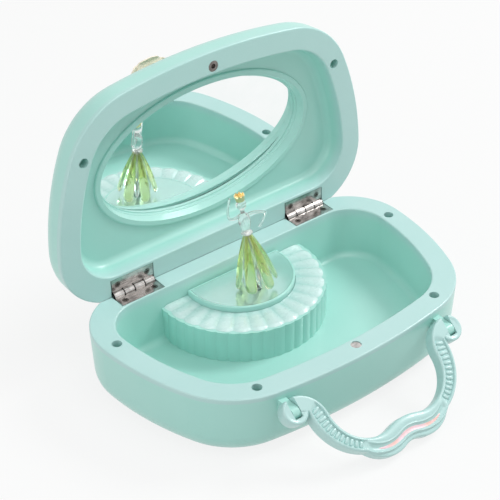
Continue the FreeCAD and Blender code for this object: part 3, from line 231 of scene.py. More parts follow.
def pink_pearl():
    """Pearly lacquer that drifts from peach to pink, with fine flakes."""
    material, shader, place = new_finish("pink_pearl", Coat_Roughness=0.06, IOR=1.55)
    drift = place.stretched(1, 0.4, 0.4).noise(120, 2)
    flake = place.noise(4200, 1)
    drift.stepped(0.35, 0.65).tint("#EDBFB2", "#EFCFD9").to(shader, "Base Color")
    (0.15 + 0.35 * flake).to(shader, "Metallic")
    (0.22 + 0.2 * flake).to(shader, "Roughness")
    (0.4 + 0.2 * drift).to(shader, "Coat Weight")
    flake.bump(0.01).to(shader, "Normal")
    return material


finishes = {
    "mint_plastic": moulded_mint("moulded_mint"),
    "petal_plastic": pearl_petal(),
    "cream_plastic": cream_petal(),
    "pink_inlay": pink_pearl(),
}
print("plastics:", ", ".join(finishes))

# %% [markdown]
# ## Clear plastics
# The dancer is moulded in clear, slightly milky plastic that bends the light, so the shader lets most
# of the light through and scatters the rest. The skirt's petals are tinted yellow-green, strongest
# near the waist, and fade towards the hem.


# %% Clear and green
def clear_crystal():
    """Clear plastic with the faint haze and ripple of a moulded surface."""
    material, shader, place = new_finish("clear_crystal", Transmission_Weight=0.88, IOR=1.33)
    haze = place.noise(700, 2)
    haze.tint("#F3F7F5", "#FFFFFF").to(shader, "Base Color")
    (0.02 + 0.10 * haze).to(shader, "Roughness")
    haze.bump(0.02).to(shader, "Normal")
    return material


def green_crystal():
    """Tinted plastic that fades along each petal, with a streaky thickness."""
    material, shader, place = new_finish("green_crystal", Transmission_Weight=0.95, IOR=1.22)
    along = place.attribute("along")
    streak = place.noise(650, 2)
    fade = (along + 0.25 * streak - 0.12).stepped(0.35, 1.05)
    fade.tint("#EFF3AE", "#F6F9D6").to(shader, "Base Color")
    (0.08 + 0.12 * streak).to(shader, "Roughness")
    streak.bump(0.03).to(shader, "Normal")
    return material


finishes["clear_plastic"] = clear_crystal()
finishes["green_plastic"] = green_crystal()
print("clear plastics ready")

# %% [markdown]
# ## Metals and mirror
# Every metal here is one recipe with its own colour: a fine grain drawn out along the direction it
# was brushed or turned in, slow patches of tarnish, and a gloss that follows both. On the nickel the
# dark and light patches are partly tarnish and partly painted reflections. The hinges also have
# painted shade where their knuckles meet, found by folding the way along the hinge. The lid's
# mirror is silvered glass with the lightest smears, and the stage's disc is duller and tinted.

# %% Nickel, steels, brass, gold and mirror
KNUCKLES = 4
GAP_SHADE_ALONG = (0.15, 0.45)  # from a knuckle's end: painted shade up to the first, none from the second
GAP_SHADE_REACH = (2.2, 3.2)  # the same, from the hinge's axis


def worked_metal(name, dark, light, gloss, grain=(1, 12, 12), depth=0.004, painted_shade=None):
    """Metal with a drawn-out grain: the colour and the gloss both follow the grain and the tarnish, and
    on the nickel the dark and light patches are also painted reflections. Where a shade mask is given,
    it says how much painted shade darkens a place."""
    material, shader, place = new_finish(name, Metallic=1.0)
    lines = place.stretched(*grain).noise(260, 3)
    patch = place.noise(180, 3)
    # grain and tarnish patches; with the nickel's wide dark-to-bright range they also stand for painted
    # reflections
    colour = (0.4 * lines + 0.6 * patch).stepped(0.15, 0.75).tint(dark, light)
    # painted shade: a near-black tint laid into the gaps between the hinge knuckles
    if painted_shade:
        colour = painted_shade(place).tint(colour, "#1B1816")
    colour.to(shader, "Base Color")
    (gloss + 0.12 * lines + 0.10 * patch).to(shader, "Roughness")
    lines.bump(depth).to(shader, "Normal")
    return material


def span(node):
    """Lowest and highest corner of a CAD node, in millimetres."""
    low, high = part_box(node)
    return np.array(low) / MM, np.array(high) / MM


def knuckle_gap_shade(place):
    """Painted shade where two knuckles meet: the way along the hinge is folded at every knuckle's end,
    and kept to what lies near the hinge's axis."""
    low, high = (corner * MM for corner in span("right_hinge_pin"))
    along = place.math("ABSOLUTE", place.part("X"), 0.0) - low[0]
    to_end = place.math("PINGPONG", along, (high[0] - low[0]) / KNUCKLES / 2)
    middle = (low + high) / 2
    ends = {0: place.stretched(0, 1, 1), 1: (0.0, middle[1], middle[2])}
    off_axis = place.node("ShaderNodeVectorMath", {"operation": "DISTANCE"}, ends, "Value")
    away = to_end.stepped(*(size * MM for size in GAP_SHADE_ALONG))
    outside = off_axis.stepped(*(size * MM for size in GAP_SHADE_REACH))
    return (1 - away) * (1 - outside)


def silvered_mirror():
    """Silvered glass: almost even, with smears too faint to blur what it shows."""
    material, shader, place = new_finish("silvered_mirror", Metallic=1.0)
    smear = place.stretched(1, 0.3, 1).noise(60, 3)
    smear.tint("#F3F8F7", "#FDFEFE").to(shader, "Base Color")
    (0.012 + 0.02 * smear.stepped(0.5, 0.8)).to(shader, "Roughness")
    return material


def stage_gloss():
    """The stage's disc, a mirror seen through a mint tint: half metal, with a soft bloom."""
    material, shader, place = new_finish("stage_gloss", Coat_Roughness=0.05)
    bloom = place.noise(70, 3)
    bloom.tint("#B6E2DA", "#C8EBE5").to(shader, "Base Color")
    (0.55 + 0.2 * bloom).to(shader, "Metallic")
    (0.11 + 0.12 * bloom).to(shader, "Roughness")
    (0.3 + 0.2 * bloom).to(shader, "Coat Weight")
    return material


# nickel: its dark and light patches are partly tarnish and grain, partly painted reflections of darker
# surroundings
NICKEL_WITH_PAINTED_REFLECTIONS = ("#5C5856", "#E8E4E1", 0.05)
finishes["nickel"] = worked_metal("bright_nickel", *NICKEL_WITH_PAINTED_REFLECTIONS)
# hinge leaves: nickel with painted shade where the knuckles meet
hinge_nickel_gap_shade = worked_metal("hinge_nickel_gap_shade", *NICKEL_WITH_PAINTED_REFLECTIONS, painted_shade=knuckle_gap_shade)
finishes["screw_steel"] = worked_metal("screw_steel_turned", "#4A4745", "#8D8883", 0.12, (8, 8, 1))
finishes["magnet_steel"] = worked_metal("magnet_plate", "#8E8C8A", "#C9C6C3", 0.14, (8, 8, 1))
finishes["tempered_steel"] = worked_metal("tempered_blue_steel", "#6D7078", "#A9ABB0", 0.2)
finishes["pot_metal"] = worked_metal("cast_zinc", "#8C8E90", "#B9BBBC", 0.34, (2, 2, 2), 0.02)
finishes["brass"] = worked_metal("turned_brass", "#A9843E", "#DDBB70", 0.18)
finishes["gold_plate"] = worked_metal("gold_plate_bright", "#D6B76F", "#F8E8BC", 0.2)
finishes["mirror_glass"] = silvered_mirror()
print("finishes so far:", len(finishes))

# %% [markdown]
# ## Handing out the finishes
# The record names a slot for every solid, and each slot has its finish. A few solids get another one:
# the tray with its plinth and the lid's liner, painted paler towards their rims as a painted sheen and
# deeper in their hollows as painted shade, the stage's disc, the hinge leaves with painted shade where
# their knuckles meet, and small parts whose plain slot colour would stand out. The bottoms of the screw
# wells look mint, so the screw heads there are mint as well.

# %% Finishes on the CAD solids
TRAY_SHEEN_FADE = (6.0, 0.5)  # below the rim: where the painted shade of the hollow ends and the painted sheen of the rim begins
LINER_SHEEN_FADE = (8.0, 1.5)  # the same, behind the lid's face
for node in frame["nodes"].values():
    for holder in node.material_slots:
        holder.material = finishes[holder.material.name]
rim_z = span("base_tray")[1][2]
lid_face = span("lid_liner")[0][1]
# tray with plinth and lid liner: their paler rims are a painted sheen, their deeper hollows painted
# shade
tray_mint_painted_sheen = moulded_mint("moulded_mint_tray_painted_sheen", MINT, "Z", *(rim_z - depth for depth in TRAY_SHEEN_FADE))
liner_mint_painted_sheen = moulded_mint("moulded_mint_liner_painted_sheen", MINT, "Y", *(lid_face + depth for depth in LINER_SHEEN_FADE))
special = {
    "stage_mirror": stage_gloss(),
    "drive_spindle": finishes["tempered_steel"],
    "spring_socket": finishes["nickel"],
    "lid_catch": finishes["screw_steel"],
    "catch_magnet": finishes["nickel"],
    "base_screws": finishes["mint_plastic"],
    "lid_screws": finishes["mint_plastic"],
    "base_tray": tray_mint_painted_sheen,
    "stage_plinth": tray_mint_painted_sheen,
    "lid_liner": liner_mint_painted_sheen,
}
special.update({name: hinge_nickel_gap_shade for name in frame["nodes"] if name.endswith("_leaf")})
for name, finish in special.items():
    frame["nodes"][name].material_slots[0].material = finish
print("CAD solids with a finish of their own:", len(special))

# %% [markdown]
# ## Small tools for surfaces
# A surface is a grid of points. Its faces join each point to its neighbours, and a direction that
# closes on itself joins its last row to its first. Points that fall together, as at a pole, are
# merged afterwards, so every piece ends up closed with its faces pointing outwards.


# %% Grids and meshes
def grid_faces(rows, cols, wrap_rows=False, wrap_cols=False):
    """Quads of a rows by cols grid; a wrapped direction joins its end to its start."""
    steps = np.arange(rows - (not wrap_rows)), np.arange(cols - (not wrap_cols))
    i, j = np.meshgrid(*steps, indexing="ij")
    below, right = (i + 1) % rows, (j + 1) % cols
    corners = [i * cols + j, i * cols + right, below * cols + right, below * cols + j]
    return np.stack(corners, -1).reshape(-1, 4)


def end_faces(rows, cols):
    """A many-sided face across the first ring of a grid, and one across its last."""
    return [list(range(cols)), list(range((rows - 1) * cols, rows * cols))]


def tube_faces(rows, cols):
    """Faces of a tube of rings, with a many-sided face closing each end."""
    return grid_faces(rows, cols, wrap_cols=True).tolist() + end_faces(rows, cols)


def new_mesh(name, points, faces, **attributes):
    """A closed mesh from points in millimetres, with any point attributes, faces outwards."""
    mesh = bpy.data.meshes.new(name)
    mesh.from_pydata((np.reshape(points, (-1, 3)) * MM).tolist(), [], [list(face) for face in faces])
    for key, values in attributes.items():
        layer = mesh.attributes.new(key, "FLOAT", "POINT")
        layer.data.foreach_set("value", np.ravel(values).astype(np.float32))
    work = bmesh.new()
    work.from_mesh(mesh)
    bmesh.ops.remove_doubles(work, verts=work.verts, dist=1e-7)
    bmesh.ops.recalc_face_normals(work, faces=work.faces)
    work.to_mesh(mesh)
    work.free()
    return mesh


def show(name, mesh, body, slot, *nodes, crease=40, finish=None):
    """Put a mesh in the scene on a body, in the place of some CAD nodes. It takes its slot's finish,
    or one of its own. Edges sharper than the crease angle stay sharp."""
    mesh.shade_smooth()
    mesh.set_sharp_from_angle(angle=math.radians(crease))
    piece = bpy.data.objects.new(name, mesh)
    bpy.context.scene.collection.objects.link(piece)
    mesh.materials.clear()
    mesh.materials.append(finish or finishes[slot])
    if body:
        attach(piece, body)
    if nodes:
        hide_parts(*nodes)
    print("%s: %d faces on %s" % (name, len(mesh.polygons), body))
    return piece


print("surface tools ready")

# %% [markdown]
# ## The petal ring
# Round the stage lies a low collar of thirty pearly petals that slopes down from the plinth. Each one
# is a fold that leans to one side, so that one flank catches the light and the other falls into shade.
# One grid makes them all: the angle round the stage by the distance from the plinth. Thirty separate
# petals would need their seams hidden, and the grid has none.

# %% Petals round the stage
RING_PETALS = 30
PLINTH_GAP = 0.1
NOTCH_DEPTH = 1.1
NOTCH_POWER = 2.4
ROOT_HEIGHT = 0.95
EDGE_HEIGHT = 0.3
FOLD_HEIGHT = 0.6
FOLD_LEAN = 0.55


def smooth_step(low, high, x):
    """0 below low and 1 above high, with an S-curve between them."""
    t = np.clip((x - low) / (high - low), 0, 1)
    return t * t * (3 - 2 * t)


def skin(top, under):
    """One closed loop in each row: across the top, and back across the underside."""
    return np.concatenate([top, under[:, ::-1]], 1)


def petal_ring_surface(rows=RING_PETALS * 20 + 1, cols=26):
    """Height over the drum falls from the root to the edge, and each petal adds a fold: 1 - across
    squared, leaned over by 1 + lean times across, which grows from the plinth and ends rounded. The
    edge goes in by the notch depth times a power of across. The two ends run along the wall."""
    low, high = span("petal_ring")
    outer = (high[0] - low[0]) / 2
    centre = np.array([(high[0] + low[0]) / 2, low[1] + outer])
    plinth_low, plinth_high = span("stage_plinth")
    inner = (plinth_high[0] - plinth_low[0]) / 2 + PLINTH_GAP
    wall = high[1] - centre[1]
    t = np.linspace(0, 1, cols)
    radius = inner + (outer - inner) * t
    start = math.pi - np.arcsin(wall / radius)
    end = 2 * math.pi + np.arcsin(wall / radius)
    turn = start + (end - start) * np.linspace(0, 1, rows)[:, None]
    across = 2 * ((turn * RING_PETALS / (2 * math.pi)) % 1) - 1
    reach = inner + t * (outer - NOTCH_DEPTH * np.abs(across) ** NOTCH_POWER - inner)
    fold = (1 - across ** 2) * (1 + FOLD_LEAN * across)
    grow = 0.2 + 0.8 * smooth_step(0, 0.7, t)
    droop = 1 - 0.85 * smooth_step(0.86, 1.02, t)
    rise = (ROOT_HEIGHT + (EDGE_HEIGHT - ROOT_HEIGHT) * t + FOLD_HEIGHT * fold * grow) * droop
    x = centre[0] + reach * np.cos(turn)
    y = np.minimum(centre[1] + reach * np.sin(turn), high[1])
    top = np.stack([x, y, low[2] + rise], -1)
    under = np.stack([x, y, np.full_like(x, low[2])], -1)
    tips = np.broadcast_to(t, x.shape)
    return skin(top, under), skin(tips, tips), skin(fold, fold)


# across carries each fold's height, which the pearl finish uses to paint a highlight on the fold's
# crest
points, along, across = petal_ring_surface()
mesh = new_mesh("stage_petals", points, tube_faces(*points.shape[:2]), along=along, across=across)
show("stage_petals", mesh, "base", "petal_plastic", "petal_ring", crease=50)

# %% [markdown]
# ## The steps round the lid's mirror
# The oval mirror lies at the bottom of a funnel whose wall goes down in fine steps; their edges draw
# the dark and light lines round the glass. A stepped profile is carried round the oval: the
# profile says how far each corner stands outside the glass's edge and how high above the glass. The
# lid is easier to think of shut, so both shapes are made that way and turned open about the hinge.

# %% Stepped oval
joints = {joint["name"]: joint for joint in frame["joints"]}
LID_OPEN = -92.0
MIRROR_LIP = 0.9
STEPS = np.array([(-0.1, 0.0), (-0.1, 1.5), (0.1, 1.7), (0.75, 1.75), (0.85, 3.3), (1.05, 3.5),
                  (1.6, 3.55), (1.7, 5.0), (1.9, 5.2), (2.4, 5.2), (2.6, 3.0), (1.2, -0.3)])
GLASS_TILT = 4.2
GLASS_FORWARD = 1.1
GLASS_THICK = 1.0
GLASS_EDGE = [(0, 0.0, GLASS_THICK), (0, 1.0, GLASS_THICK), (0, 1.0, 0.25),
              (0.5, 1.0, 0.0), (0, 0.0, 0.0)]  # inset, share of the radius, height


def joint_place(name):
    """A joint's point in millimetres."""
    return np.array(joints[name]["pos_m"]) / MM


def turned(points, axis, degrees):
    """Points turned about an axis through the origin: the part along the axis stays, and the rest
    mixes with its cross product by the cosine and sine of the angle."""
    axis = np.array(axis) / np.linalg.norm(axis)
    a = math.radians(degrees)
    along = (points @ axis)[..., None] * axis
    return points * math.cos(a) + np.cross(axis, points) * math.sin(a) + along * (1 - math.cos(a))


def ring_angles(count):
    """Angles evenly round a circle, from 0 on."""
    return np.linspace(0, 2 * math.pi, count, endpoint=False)


hinge = joint_place("lid_hinge")


def open_lid(points):
    """Points given with the lid shut, turned open about the hinge."""
    return turned(points - hinge, (1, 0, 0), LID_OPEN) + hinge


def shut_lid(points):
    """Points of the open lid turned back to the shut one."""
    return turned(points - hinge, (1, 0, 0), -LID_OPEN) + hinge


def mirror_steps(rows=180):
    """The profile at each angle of the oval: both half axes grow by the profile's first number, and
    the second is taken off the glass's height, because the shut lid looks down."""
    low, high = (shut_lid(corner) for corner in span("lid_mirror"))
    half = np.abs(high - low)[:2] / 2 - MIRROR_LIP
    middle = (low + high) / 2
    angle = ring_angles(rows)[:, None]
    out, rise = STEPS.T
    glass = min(low[2], high[2])
    x = middle[0] + (half[0] + out) * np.cos(angle)
    y = middle[1] + (half[1] + out) * np.sin(angle)
    return np.stack([x, y, glass - rise + 0 * angle], -1)


def mirror_glass(rows=120):
    """A flat oval with a bevelled edge, tipped about its middle so that its top stands forward."""
    low, high = (shut_lid(corner) for corner in span("lid_mirror"))
    middle = (low + high) / 2
    middle[2] = min(low[2], high[2]) - GLASS_FORWARD
    angle = ring_angles(rows)[:, None]
    inset, share, rise = (np.array(v) for v in zip(*GLASS_EDGE))
    half = np.abs(high - low)[:2] / 2
    x = share * (half[0] - inset) * np.cos(angle)
    y = share * (half[1] - inset) * np.sin(angle)
    plate = np.stack([x, y, rise + 0 * angle], -1)
    return turned(plate, (1, 0, 0), GLASS_TILT) + middle


glass = mirror_glass()
mesh = new_mesh("lid_mirror_glass", open_lid(glass), grid_faces(*glass.shape[:2], True))
show("lid_mirror_glass", mesh, "lid", "mirror_glass", "lid_mirror", crease=20)
steps = mirror_steps()
mesh = new_mesh("mirror_steps", open_lid(steps), grid_faces(*steps.shape[:2], True, True))
show("mirror_steps", mesh, "lid", "mint_plastic", crease=30)

# %% [markdown]
# ## The handle
# The handle is one moulded bail: two arms with a beaded groove between raised edges, and a lower edge
# of two lobes with a pearly stripe. Its plan is two rails made of arcs, an inner one and an outer one,
# given for the right half in millimetres from the middle and down from the pivots. The surface is
# ruled between the rails, because then every width along the handle follows from the plan.

# %% The handle's two rails
PIVOT_X = 47.6
SCROLL_R = 6.4
CURL_R = 14.3
ARM_R = 19.3
LOBE_R = 17.6
LOBE = np.array([11.0, 20.8])
NOTCH_ANGLE = 36.2
FOOT_ANGLE = 152
VALLEY_R = 26.35
ARM_BULGE = (39.3, 17.5)
HALF_THICK = 3.5
EDGE_R = 1.0
STATIONS = (10, 12, 34, 46, 22, 18)


def arc(centre, start, end, count):
    """Points on a circle from start round to end the shorter way, with the end left out."""
    a0 = math.atan2(*(np.array(start) - centre)[::-1])
    sweep = math.atan2(*(np.array(end) - centre)[::-1]) - a0
    sweep = (sweep + math.pi) % (2 * math.pi) - math.pi
    a = a0 + sweep * np.arange(count) / count
    radius = np.linalg.norm(np.array(start) - centre)
    return np.array(centre) + radius * np.stack([np.cos(a), np.sin(a)], -1)


def circle_through(a, b, c):
    """Centre of the circle through three points, from its two linear equations."""
    a, b, c = map(np.array, (a, b, c))
    left = 2 * np.array([b - a, c - a])
    right = np.array([b @ b - a @ a, c @ c - a @ a])
    return np.linalg.solve(left, right)


def around(centre, radius, degrees):
    """The point of a circle at an angle."""
    a = math.radians(degrees)
    return centre + radius * np.array([math.cos(a), math.sin(a)])


def on_circle(centre, radius, towards):
    """The point of a circle that lies towards another point."""
    line = np.array(towards) - centre
    return np.array(centre) + line * radius / np.linalg.norm(line)


def rail(stops, centres):
    """Arcs between stops about their centres, each with its share of the stations."""
    pieces = [arc(c, p, q, n) for c, p, q, n in zip(centres, stops, stops[1:], STATIONS)]
    return np.concatenate(pieces + [np.array([stops[-1]])])


scroll = np.array([PIVOT_X, 0.0])
arm = np.array([14.0, 7.9])
curl = np.array([PIVOT_X, 7.9])
valley = np.array([0.0, 51.35])
dip = np.array([0.0, 50.05])
notch = around(LOBE, LOBE_R, NOTCH_ANGLE)
scroll_foot = around(scroll, SCROLL_R, FOOT_ANGLE)
outer_arm = circle_through(notch, ARM_BULGE, scroll_foot)
inner_stops = [(0.0, 25.0), on_circle(valley, VALLEY_R, (4.4, 25.4)), on_circle(arm, ARM_R, valley),
               on_circle(arm, ARM_R, notch), (PIVOT_X - CURL_R, 7.9),
               on_circle(curl, CURL_R, scroll_foot), (PIVOT_X, -SCROLL_R)]
outer_stops = [(0.0, 36.4), on_circle(LOBE, LOBE_R, dip), LOBE + np.array([-0.5, LOBE_R]),
               notch, on_circle(outer_arm, np.linalg.norm(notch - outer_arm), (41.7, 8.4)),
               scroll_foot, (PIVOT_X, -0.5)]
inner_rail = rail(inner_stops, [valley, valley, arm, arm, curl, curl])
outer_rail = rail(outer_stops, [dip, LOBE, LOBE, outer_arm, outer_arm, (PIVOT_X - 8, -8)])
knots = np.cumsum((0,) + STATIONS) / sum(STATIONS)
station = np.linspace(0, 1, len(inner_rail))
print("handle rails:", len(inner_rail), "stations on each half")

# %% [markdown]
# Over the ruled strip lies a relief: the arms' groove, and in the lobes the bands and ridges beside the
# stripe. It is a height that depends on the way along and the way across, so one grid carries it all.

# %% The handle's relief
GROOVE_DEPTH = 1.1
BORDER = 1.2
STRIPE_AT = 0.6
STRIPE_HALF = 0.95
stripe_end = knots[2] + 0.62 * (knots[3] - knots[2])


def relief(u, inside, width):
    """Height over the flat top: a groove between raised edges along the arms, and in the lobes a
    crowned inner band, a shallow bed for the stripe between two fine ridges, and a lower outer band."""
    outside = width - inside
    arms = smooth_step(knots[3] - 0.01, knots[3] + 0.03, u)
    arms = arms * (1 - smooth_step(knots[5] - 0.06, knots[5], u))
    lobes = 1 - smooth_step(knots[3] - 0.05, knots[3] + 0.02, u)
    groove = smooth_step(BORDER, BORDER + 0.5, inside) * smooth_step(BORDER, BORDER + 0.5, outside)
    off = inside - STRIPE_AT * width
    bed = np.exp(-(off / 1.3) ** 2)
    ridges = np.exp(-((np.abs(off) - 2.1) / 0.45) ** 2)
    crown = np.sin(math.pi * np.clip(inside / (STRIPE_AT * width - 1.6), 0, 1))
    step = smooth_step(1.8, 2.8, off)
    waves = 0.75 * crown + 0.45 * ridges - 0.75 * bed - 0.9 * step - 0.5
    return lobes * waves - arms * GROOVE_DEPTH * groove


def edge_drop(depth):
    """How far a rounded edge falls at a distance in from it: a quarter circle."""
    part = np.clip(1 - depth / EDGE_R, 0, 1)
    return EDGE_R * (1 - np.sqrt(1 - part ** 2))


def strip(u, inner, outer, cols=60):
    """The closed strip between two rails: top with its relief, then the plain underside."""
    share = (1 - np.cos(np.linspace(0, math.pi, cols))) / 2
    flat = inner[:, None] + (outer - inner)[:, None] * share[:, None]
    width = np.linalg.norm(outer - inner, axis=1)[:, None]
    inside = share * width
    drop = edge_drop(np.minimum(inside, width - inside))
    top = HALF_THICK - drop + relief(u[:, None], inside, width)
    over = skin(flat, flat)
    height = skin(top, drop - HALF_THICK)
    return np.stack([over[..., 0], -over[..., 1], height], -1)


def scroll_end(side, rows=64, cols=14):
    """The rounded end that the lug sits in: a disc with a domed face and a raised edge."""
    angle = ring_angles(rows)[:, None]
    depth = SCROLL_R * np.linspace(1, 0, cols) ** 1.6
    radius = SCROLL_R - depth
    height = HALF_THICK - edge_drop(depth) - 0.35 * smooth_step(1.0, 1.9, depth)
    radius = np.concatenate([radius, radius[::-1]])
    height = np.concatenate([height, -(HALF_THICK - edge_drop(depth))[::-1]])
    x = side * PIVOT_X + radius * np.cos(angle)
    y = radius * np.sin(angle)
    return np.stack([x, y, np.broadcast_to(height, x.shape)], -1)


def tilt_of_handle():
    """The angle at which the flat handle's corner reaches the lowest point of the CAD handle."""
    reach = LOBE[1] + LOBE_R
    drop = joint_place("handle_swing")[2] - span("handle")[0][2]
    return math.degrees(math.asin(drop / math.hypot(reach, HALF_THICK)) - math.atan2(HALF_THICK, reach))


HANDLE_TILT = tilt_of_handle()


def hang(points):
    """Flat handle points turned to the rest tilt and set on the pivot."""
    return turned(points, (1, 0, 0), HANDLE_TILT) + joint_place("handle_swing")


flip = np.array([-1.0, 1.0])
both_inner = np.concatenate([(inner_rail * flip)[:0:-1], inner_rail])
both_outer = np.concatenate([(outer_rail * flip)[:0:-1], outer_rail])
both_u = np.concatenate([station[:0:-1], station])
bail_points = strip(both_u, both_inner, both_outer)
bail = new_mesh("handle_bail", hang(bail_points), tube_faces(*bail_points.shape[:2]))
print("handle hangs at %.1f degrees" % HANDLE_TILT)

# %% [markdown]
# The bail and its two scroll ends are joined, and a slot is cut through each scroll for the lug of the
# box, so that the handle can swing. The Boolean modifier does both on closed meshes, and its result
# is kept as a plain mesh.

# %% Joining the scrolls and cutting the slots
SLOT_HALF = 2.2
SLOT_REACH = 3.6
SLOT_HIGH = 7.0


def combined(mesh, other, operation):
    """The mesh joined with another or cut by it."""
    holders = [bpy.data.objects.new("work", m) for m in (mesh, other)]
    for holder in holders:
        bpy.context.scene.collection.objects.link(holder)
    modifier = holders[0].modifiers.new("solid", "BOOLEAN")
    modifier.operation = operation
    modifier.solver = "EXACT"
    modifier.object = holders[1]
    bpy.context.view_layer.update()
    graph = bpy.context.evaluated_depsgraph_get()
    made = bpy.data.meshes.new_from_object(holders[0].evaluated_get(graph))
    for holder in holders:
        bpy.data.objects.remove(holder)
    return made


def slot_block(side):
    """The box that the lug and its swing need, open at the back of the scroll."""
    sides = [-SLOT_HALF, SLOT_HALF], [-SLOT_REACH, 2 * SCROLL_R], [-SLOT_HIGH, SLOT_HIGH]
    x, y, z = np.meshgrid(*sides, indexing="ij")
    corners = np.stack([x + side * PIVOT_X, y, z], -1).reshape(-1, 3)
    faces = [(0, 1, 3, 2), (4, 5, 7, 6), (0, 1, 5, 4), (2, 3, 7, 6), (0, 2, 6, 4), (1, 3, 7, 5)]
    return new_mesh("slot", hang(corners), faces)


for side in (-1, 1):
    disc = scroll_end(side)
    rows, cols = disc.shape[:2]
    disc_mesh = new_mesh("scroll", hang(disc), grid_faces(rows, cols, wrap_rows=True))
    bail = combined(bail, disc_mesh, "UNION")
for side in (-1, 1):
    bail = combined(bail, slot_block(side), "DIFFERENCE")
handle_mint = moulded_mint("moulded_mint_handle", PALE_MINT)
show("handle_bail", bail, "handle", "mint_plastic", "handle", crease=32, finish=handle_mint)

# %% [markdown]
# Two small pieces lie on the bail: a row of beads along each groove, and the pearly stripe that
# follows the wave of the lobes. Both use the strip's own formula, so they sit on its surface.

# %% Beads and stripe on the handle
BEADS = 12
BEAD_ALONG = 0.88
BEAD_RISE = 0.8
STRIPE_LIFT = 0.05
STRIPE_CROWN = 0.22
STRIPE_SUNK = 0.3


def copies(faces, size, count):
    """The same faces for count shapes of size points each, one after another."""
    return [[index + k * size for index in face] for k in range(count) for face in faces]


def unit(vectors):
    """Vectors brought to a length of one."""
    return vectors / np.linalg.norm(vectors, axis=1)[:, None]


def strip_point(u, share):
    """Flat point and top height on the right half of the strip, at station u and share across."""
    inner = np.stack([np.interp(u, station, inner_rail[:, k]) for k in (0, 1)], -1)
    outer = np.stack([np.interp(u, station, outer_rail[:, k]) for k in (0, 1)], -1)
    width = np.linalg.norm(outer - inner, axis=-1)
    flat = inner + (outer - inner) * share[..., None]
    edge = np.minimum(share, 1 - share) * width
    height = HALF_THICK - edge_drop(edge) + relief(u, share * width, width)
    return np.stack([flat[..., 0], -flat[..., 1], height], -1), width


def bead_rows(rows=11, cols=20):
    """Each bead is a pillow, a ball whose outline is squared by powers of its sine and cosine, as
    wide as the groove. Its place steps evenly along the groove's length, on both arms."""
    fine = np.linspace(knots[3] + 0.02, knots[5] - 0.045, 200)
    line, _ = strip_point(fine, np.full(200, 0.5))
    length = np.concatenate([[0], np.cumsum(np.linalg.norm(np.diff(line[:, :2], axis=0), axis=1))])
    u = np.interp((np.arange(BEADS) + 0.5) / BEADS * length[-1], length, fine)
    middle, width = strip_point(u, np.full(BEADS, 0.5))
    edge, _ = strip_point(u, np.full(BEADS, 0.6))
    out = unit((edge - middle) * np.array([1.0, 1.0, 0.0]))
    along = np.stack([-out[:, 1], out[:, 0], 0 * out[:, 0]], -1)
    polar = np.linspace(0, math.pi, rows)[:, None]
    angle = ring_angles(cols)
    x = np.sin(polar) ** 0.7 * np.sign(np.cos(angle)) * np.abs(np.cos(angle)) ** 0.55
    y = np.sin(polar) ** 0.7 * np.sign(np.sin(angle)) * np.abs(np.sin(angle)) ** 0.75
    z = np.cos(polar) + 0 * angle
    half = (width / 2 - BORDER - 0.35)[:, None, None, None]
    pillow = half * x[..., None] * out[:, None, None] + BEAD_ALONG * y[..., None] * along[:, None, None]
    pillow = pillow + BEAD_RISE * z[..., None] * np.array([0.0, 0.0, 1.0]) + middle[:, None, None]
    return np.concatenate([pillow, pillow * np.array([-1.0, 1.0, 1.0])])


def stripe_ribbon(rows=61, cols=7):
    """A ribbon on the strip's surface: half its width times the root of one minus the station's
    share squared, so that it runs out to a point at both ends."""
    u = np.linspace(-1, 1, rows) * stripe_end
    side = np.linspace(-1, 1, cols)
    taper = np.sqrt(np.clip(1 - (u / stripe_end) ** 2, 0, 1))
    _, width = strip_point(np.abs(u), np.full(rows, STRIPE_AT))
    share = STRIPE_AT + (STRIPE_HALF * taper / width)[:, None] * side
    face, _ = strip_point(np.abs(u)[:, None] + 0 * share, share)
    face[..., 0] *= np.sign(u)[:, None]
    crown = STRIPE_CROWN * (1 - side ** 2) * taper[:, None]
    up = np.array([0.0, 0.0, 1.0])
    top = face + (STRIPE_LIFT + crown)[..., None] * up
    return skin(top, face - STRIPE_SUNK * up)


beads = bead_rows()
bead_faces = grid_faces(*beads.shape[1:3], wrap_cols=True).tolist()
size = beads.shape[1] * beads.shape[2]
mesh = new_mesh("handle_beads", hang(beads), copies(bead_faces, size, len(beads)))
show("handle_beads", mesh, "handle", "mint_plastic", finish=handle_mint)
ribbon = stripe_ribbon()
mesh = new_mesh("handle_stripe_pearl", hang(ribbon), tube_faces(*ribbon.shape[:2]))
show("handle_stripe_pearl", mesh, "handle", "pink_inlay", "handle_stripe", crease=60)

# %% [markdown]
# ## The dancer
# The dancer stands on a leaning wire that turns with the music and folds down as the lid shuts. All
# its shapes are made upright about one axis and then leaned into place together, which keeps their
# formulas plain. Three tools make them: rings of facets, tubes along a path, and smooth paths.

# %% Placing the dancer
DANCER_TURN = -38.6
dancer_axis = np.array(joints["dancer_spin"]["axis"])
hem = joint_place("dancer_spin")
lean = math.degrees(math.acos(dancer_axis[2]))


def stand(points):
    """Upright points, with the hem at height 0, turned to the rest heading, leaned and set in place."""
    heading = turned(points, (0, 0, 1), DANCER_TURN)
    tip_axis = np.cross((0, 0, 1), dancer_axis)
    return turned(heading, tip_axis, lean) + hem


def faceted(profile, sides, twist=0.5):
    """Rings of a profile of (radius, height), each turned on by a share of a step."""
    radius, height = np.array(profile).T
    rows = np.arange(len(profile))[:, None]
    angle = 2 * math.pi * (np.arange(sides) + twist * rows) / sides
    x, y = radius[:, None] * np.cos(angle), radius[:, None] * np.sin(angle)
    return np.stack([x, y, height[:, None] + 0 * angle], -1)


